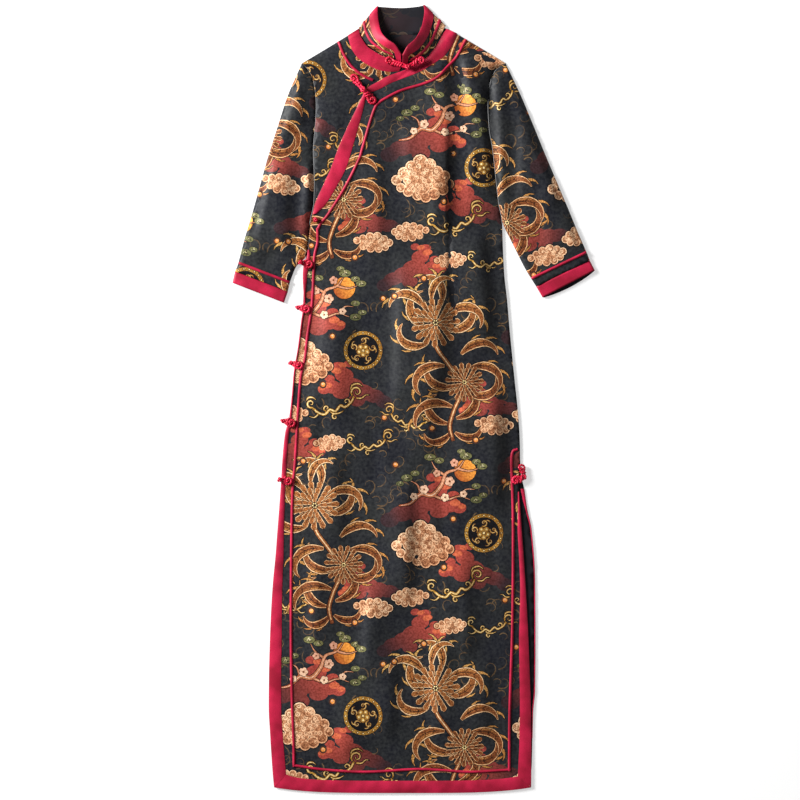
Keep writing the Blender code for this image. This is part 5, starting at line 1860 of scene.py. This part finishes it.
def collar_strip(name, places, profile):
    """A closed strip on the collar's wall. profile gives, for each place, its levels and lifts."""
    rows = []
    for place in places:
        levels, lifts = profile(place)
        rows.append(collar_points(np.full(len(levels), place), levels, lifts))
    return strip_piece(name, np.stack(rows))


def mirrored(place, side):
    return place if side > 0 else LAST_SECTION - place


def binding(name, side):
    """Satin folded over the collar's top edge: wide outside, narrow inside."""
    def profile(place):
        low = np.interp(mirrored(place, side), *zip(*BINDING_FEET))
        half = COLLAR_WALL / 2
        levels = [low, low, (low + 0.97) / 2, 0.97, 1.02, 1.02, 0.97, 0.86, 0.86, 0.97, 0.97]
        lifts = [half + 0.1, half + 0.75, half + 1.0, half + 0.8, 0.5, -0.5, -half - 0.6, -half - 0.5,
                 -half, -half, half]
        return np.array(levels), np.array(lifts)

    return collar_strip(name, mirrored(np.linspace(-0.04, 6.1, 84), side), profile)


def collar_piping(name, side):
    def profile(place):
        shares = 0.5 - 0.5 * np.cos(np.linspace(0, math.pi, 6))
        crown = COLLAR_WALL / 2 + 0.3 + 0.8 * (1 - (2 * shares - 1) ** 6)
        levels = 0.2 + 0.13 * shares
        sole = np.full(6, COLLAR_WALL / 2 + 0.1)
        return np.concatenate([levels, levels[::-1]]), np.concatenate([crown, sole])

    return collar_strip(name, mirrored(np.linspace(1.0, 6.0, 64), side), profile)


binding_right = binding("collar_binding_right_satin", 1)
binding_left = binding("collar_binding_left_satin", -1)
collar_piping_right = collar_piping("collar_piping_right_satin", 1)
collar_piping_left = collar_piping("collar_piping_left_satin", -1)

# %% [markdown]
# ## Frogs
#
# A frog is a loop and a knotted ball, each with a coil of rolled satin cord that is sewn to the
# cloth. Balls sit in their loops all the way down, because the gown is laid out fastened. A
# curve with a bevel would make a smooth tube, so the cord is built from rings of points that turn
# along it: two twisted strands, whose ridges run round it.

# %% Frog tables
Knot = namedtuple("Knot", "name x y radius")
Coil = namedtuple("Coil", "name x y size knot")

FROG_KNOTS = [Knot(*row) for row in (
    ("frog_collar_knot", 9.5, 1234.5, 5.2), ("frog_corner_knot", -65.5, 1196, 5.4),
    ("frog_armpit_knot", -146.5, 975.5, 4.6), ("frog_side_1_knot", -172.2, 903, 4.4),
    ("frog_side_2_knot", -177.2, 827, 4.4), ("frog_side_3_knot", -189.2, 732.6, 4.4),
    ("frog_side_4_knot", -202.4, 634.6, 4.4), ("frog_side_5_knot", -207.6, 534.6, 4.6),
    ("frog_slit_knot", 208.4, 538.6, 4.0),
)]
FROG_COILS = [Coil(*row) for row in (
    ("frog_collar_loop", -22, 1245.6, 0.95, "frog_collar_knot"),
    ("frog_collar_knot_coil", 32, 1246.4, 0.9, "frog_collar_knot"),
    ("frog_corner_loop", -82, 1216.5, 0.95, "frog_corner_knot"),
    ("frog_corner_knot_coil", -50, 1179.5, 1.05, "frog_corner_knot"),
    ("frog_side_1_loop", -157.6, 901, 1.0, "frog_side_1_knot"),
    ("frog_side_2_loop", -162.6, 825, 1.0, "frog_side_2_knot"),
    ("frog_side_3_loop", -174.4, 729.4, 1.0, "frog_side_3_knot"),
    ("frog_side_4_loop", -187.4, 631.4, 1.05, "frog_side_4_knot"),
    ("frog_side_5_loop", -192.6, 533, 1.0, "frog_side_5_knot"),
    ("frog_slit_loop", 193.6, 533.4, 1.0, "frog_slit_knot"),
    ("frog_slit_knot_coil", 202.6, 555, 0.85, "frog_slit_knot"),
)]
# Radii of the cord and of its wrapping, the reach of a coil and the length of one twist, in mm
CORD = 2.2
WRAP = 1.6
COIL_REACH = 7.6
TWIST = 6.5
COIL_TURNS = 1.3
COIL_POINTS = 72
STRANDS = 2
# Turns of a wrapping lie this many of its radii apart
WRAP_STEP = 2.6
print("frog knots:", len(FROG_KNOTS), "coils:", len(FROG_COILS))

# %% Cord and knots
def cord_tube(path, radius, closed=False, around=10, depth=0.2):
    """Points and faces of a twisted cord along a path."""
    if closed:
        run = np.roll(path, -1, axis=0) - np.roll(path, 1, axis=0)
    else:
        run = np.gradient(path, axis=0)
    run /= np.maximum(np.linalg.norm(run, axis=1, keepdims=True), 1e-9)
    gaps = np.linalg.norm(np.diff(path, axis=0), axis=1)
    along = np.concatenate([[0], np.cumsum(gaps)])
    side = np.cross(run, (0, 0, 1.0))
    weak = np.linalg.norm(side, axis=1) < 0.2
    side[weak] = np.cross(run[weak], (0, 1.0, 0))
    side /= np.linalg.norm(side, axis=1, keepdims=True)
    up = np.cross(side, run)
    angles = np.arange(around) * 2 * math.pi / around
    rings = []
    radii = np.broadcast_to(radius, len(path))
    for i in range(len(path)):
        turn = along[i] / TWIST * 2 * math.pi
        reach = radii[i] * (1 + depth * np.cos(STRANDS * (angles - turn)))
        sideways = np.outer(reach * np.cos(angles), side[i])
        rings.append(path[i] + sideways + np.outer(reach * np.sin(angles), up[i]))
    count = len(path)
    faces = []
    for i in range(count if closed else count - 1):
        for k in range(around):
            j, m = (i + 1) % count, (k + 1) % around
            faces.append([i * around + k, j * around + k, j * around + m, i * around + m])
    if not closed:
        faces += [list(range(around)), [(count - 1) * around + k for k in range(around)][::-1]]
    return np.concatenate(rings), faces


def join_parts(parts):
    points, faces, base = [], [], 0
    for part_points, part_faces in parts:
        points.append(part_points)
        faces += [[base + i for i in face] for face in part_faces]
        base += len(part_points)
    return np.concatenate(points), faces


def solid_place(node):
    """The lowest corner and the middle of a solid, in the maker's frame."""
    low, high = (np.array(corner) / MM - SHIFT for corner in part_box(node))
    return low, (low + high) / 2

# %% Balls and coils
def knot_ball(knot):
    """A ball button: cord wound three times over and under itself."""
    _, centre = solid_place(knot.name)
    reach = knot.radius
    t = np.linspace(0, 2 * math.pi, 110, endpoint=False)
    polar = math.pi / 2 + 0.92 * np.sin(3 * t)
    circle = 2 * t + knot.x
    weave_in = reach * (0.63 + 0.09 * np.cos(6 * t + 0.6))
    path = centre + np.stack([
        weave_in * np.sin(polar) * np.cos(circle),
        weave_in * np.sin(polar) * np.sin(circle),
        weave_in * np.cos(polar),
    ], 1)
    core = cord_tube(centre + np.array([[0, 0, -0.5], [0, 0, 0.5]]) * reach, reach * 0.5)
    points, faces = join_parts([cord_tube(path, reach * 0.33, True, 8, 0.1), core])
    thing = new_piece(knot.name + "_cord", points, faces, [crimson_cord])
    face_outwards(thing)
    return thing


def wraps(start, end, half, level, rise):
    """Slanting turns of cord over a pair of stems."""
    towards = (end - start) / np.linalg.norm(end - start)
    aside = np.array([-towards[1], towards[0]])
    count = int(np.linalg.norm(end - start) * 0.72 / (WRAP_STEP * WRAP))
    turns = []
    for i in range(count):
        share = (i + 0.4) * WRAP_STEP * WRAP / np.linalg.norm(end - start)
        wide = half * (1 - 0.35 * share)
        angles = np.linspace(-0.15, math.pi + 0.15, 12)
        across = wide * np.cos(angles)
        flat = start + (end - start) * share + aside * across[:, None] + towards * across[:, None] * 0.45
        height = level + rise * share + wide * 0.8 * np.sin(angles)
        turns.append(cord_tube(np.column_stack([flat, height]), WRAP))
    return turns


def coil_cord(coil):
    """A flat spiral from a small eye outwards, and twin stems that lead to the ball."""
    low, _ = solid_place(coil.name)
    knot = next(k for k in FROG_KNOTS if k.name == coil.knot)
    _, ball = solid_place(coil.knot)
    cord = CORD * coil.size
    level = low[2] + cord
    centre = np.array([coil.x, coil.y])
    towards = ball[:2] - centre
    towards /= np.linalg.norm(towards)
    aside = np.array([-towards[1], towards[0]])
    heading = math.degrees(math.atan2(towards[1], towards[0]))
    reach = COIL_REACH * coil.size
    flat = spiral(*centre, reach, COIL_TURNS, heading - 50, 1, COIL_POINTS, 0.3)
    dome = np.linspace(0, 1.2, COIL_POINTS)
    parts = [cord_tube(np.column_stack([flat, level + dome]), cord)]
    bead = np.array([[*centre, level + rise] for rise in (-0.5, 1.7, 2.4, 2.7)])
    parts.append(cord_tube(bead, cord * np.array([0.8, 0.8, 0.6, 0.3]), depth=0.0))
    neck = centre + towards * (reach + 0.6)
    at_ball = ball[:2] - towards * knot.radius * 0.4
    rise = ball[2] - level
    for hand in (1, -1):
        start = centre + aside * hand * reach * 0.66 + towards * reach * 0.7
        out = aside * hand * cord
        stops = [start, neck + out * 1.15 + towards * 1.5, at_ball + out * 0.75]
        flat = through(stops, 8)
        share = np.linspace(0, 1, len(flat))
        height = level + 0.4 + (rise - 0.4) * share ** 1.5
        parts.append(cord_tube(np.column_stack([flat, height]), cord * 0.92))
    parts += wraps(neck, at_ball, cord * 2.0, level, rise)
    points, faces = join_parts(parts)
    thing = new_piece(coil.name + "_cord", points, faces, [crimson_cord])
    face_outwards(thing)
    return thing


knots = [knot_ball(knot) for knot in FROG_KNOTS]
coils = [coil_cord(coil) for coil in FROG_COILS]
print("frogs:", len(knots), "balls and", len(coils), "coils")

# %% [markdown]
# ## Hide the solids that the pieces stand for
#
# Every piece rides on the one body, and the solid that it stands for is hidden. A piece is
# named for its solid, so a loop can find which one to hide. Each sheet prints the flat size
# that it was cut to, measured from its own outline.

# %% Ride and hide
for piece in PIECES:
    node = piece.name.rsplit("_", 1)[0]
    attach(piece, "root")
    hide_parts(node)
print("pieces:", len(PIECES))

def snug_box(outline):
    """The short and the long side of the smallest box round an outline, in mm."""
    boxes = []
    for degrees in range(0, 90, 2):
        turned = outline @ turning(degrees)
        boxes.append(sorted(turned.max(0) - turned.min(0)))
    return min(boxes, key=lambda sides: sides[0] * sides[1])


def declare(piece, sides, area):
    """Prints a sheet's flat sides in mm and its area, which is given in square mm."""
    print(piece.name, "flat, mm:", [round(side) for side in sides], "area, cm2:", round(area / 100, 1))


def declare_flat(piece, outline):
    short, long = snug_box(outline)
    declare(piece, (short, long), polygon_area(outline))


def declare_tube(piece, outline, round_side):
    """A tube's flat cut goes all the way round it: twice its laid width."""
    sides = list(snug_box(outline))
    sides[round_side] *= 2
    declare(piece, sides, 2 * abs(polygon_area(outline)))


declare_flat(back_cloth, back_outline)
declare_flat(yoke_cloth, yoke_outline)
declare_flat(front_cloth, front_outline)
declare_tube(right_sleeve, right_sleeve_outline, 0)
declare_tube(left_sleeve, left_sleeve_outline, 0)
declare_tube(right_cuff, right_cuff_outline, 1)
declare_tube(left_cuff, left_cuff_outline, 1)
declare(collar_cloth, (float(collar_heights.max()), round_length[-1]), collar_area)
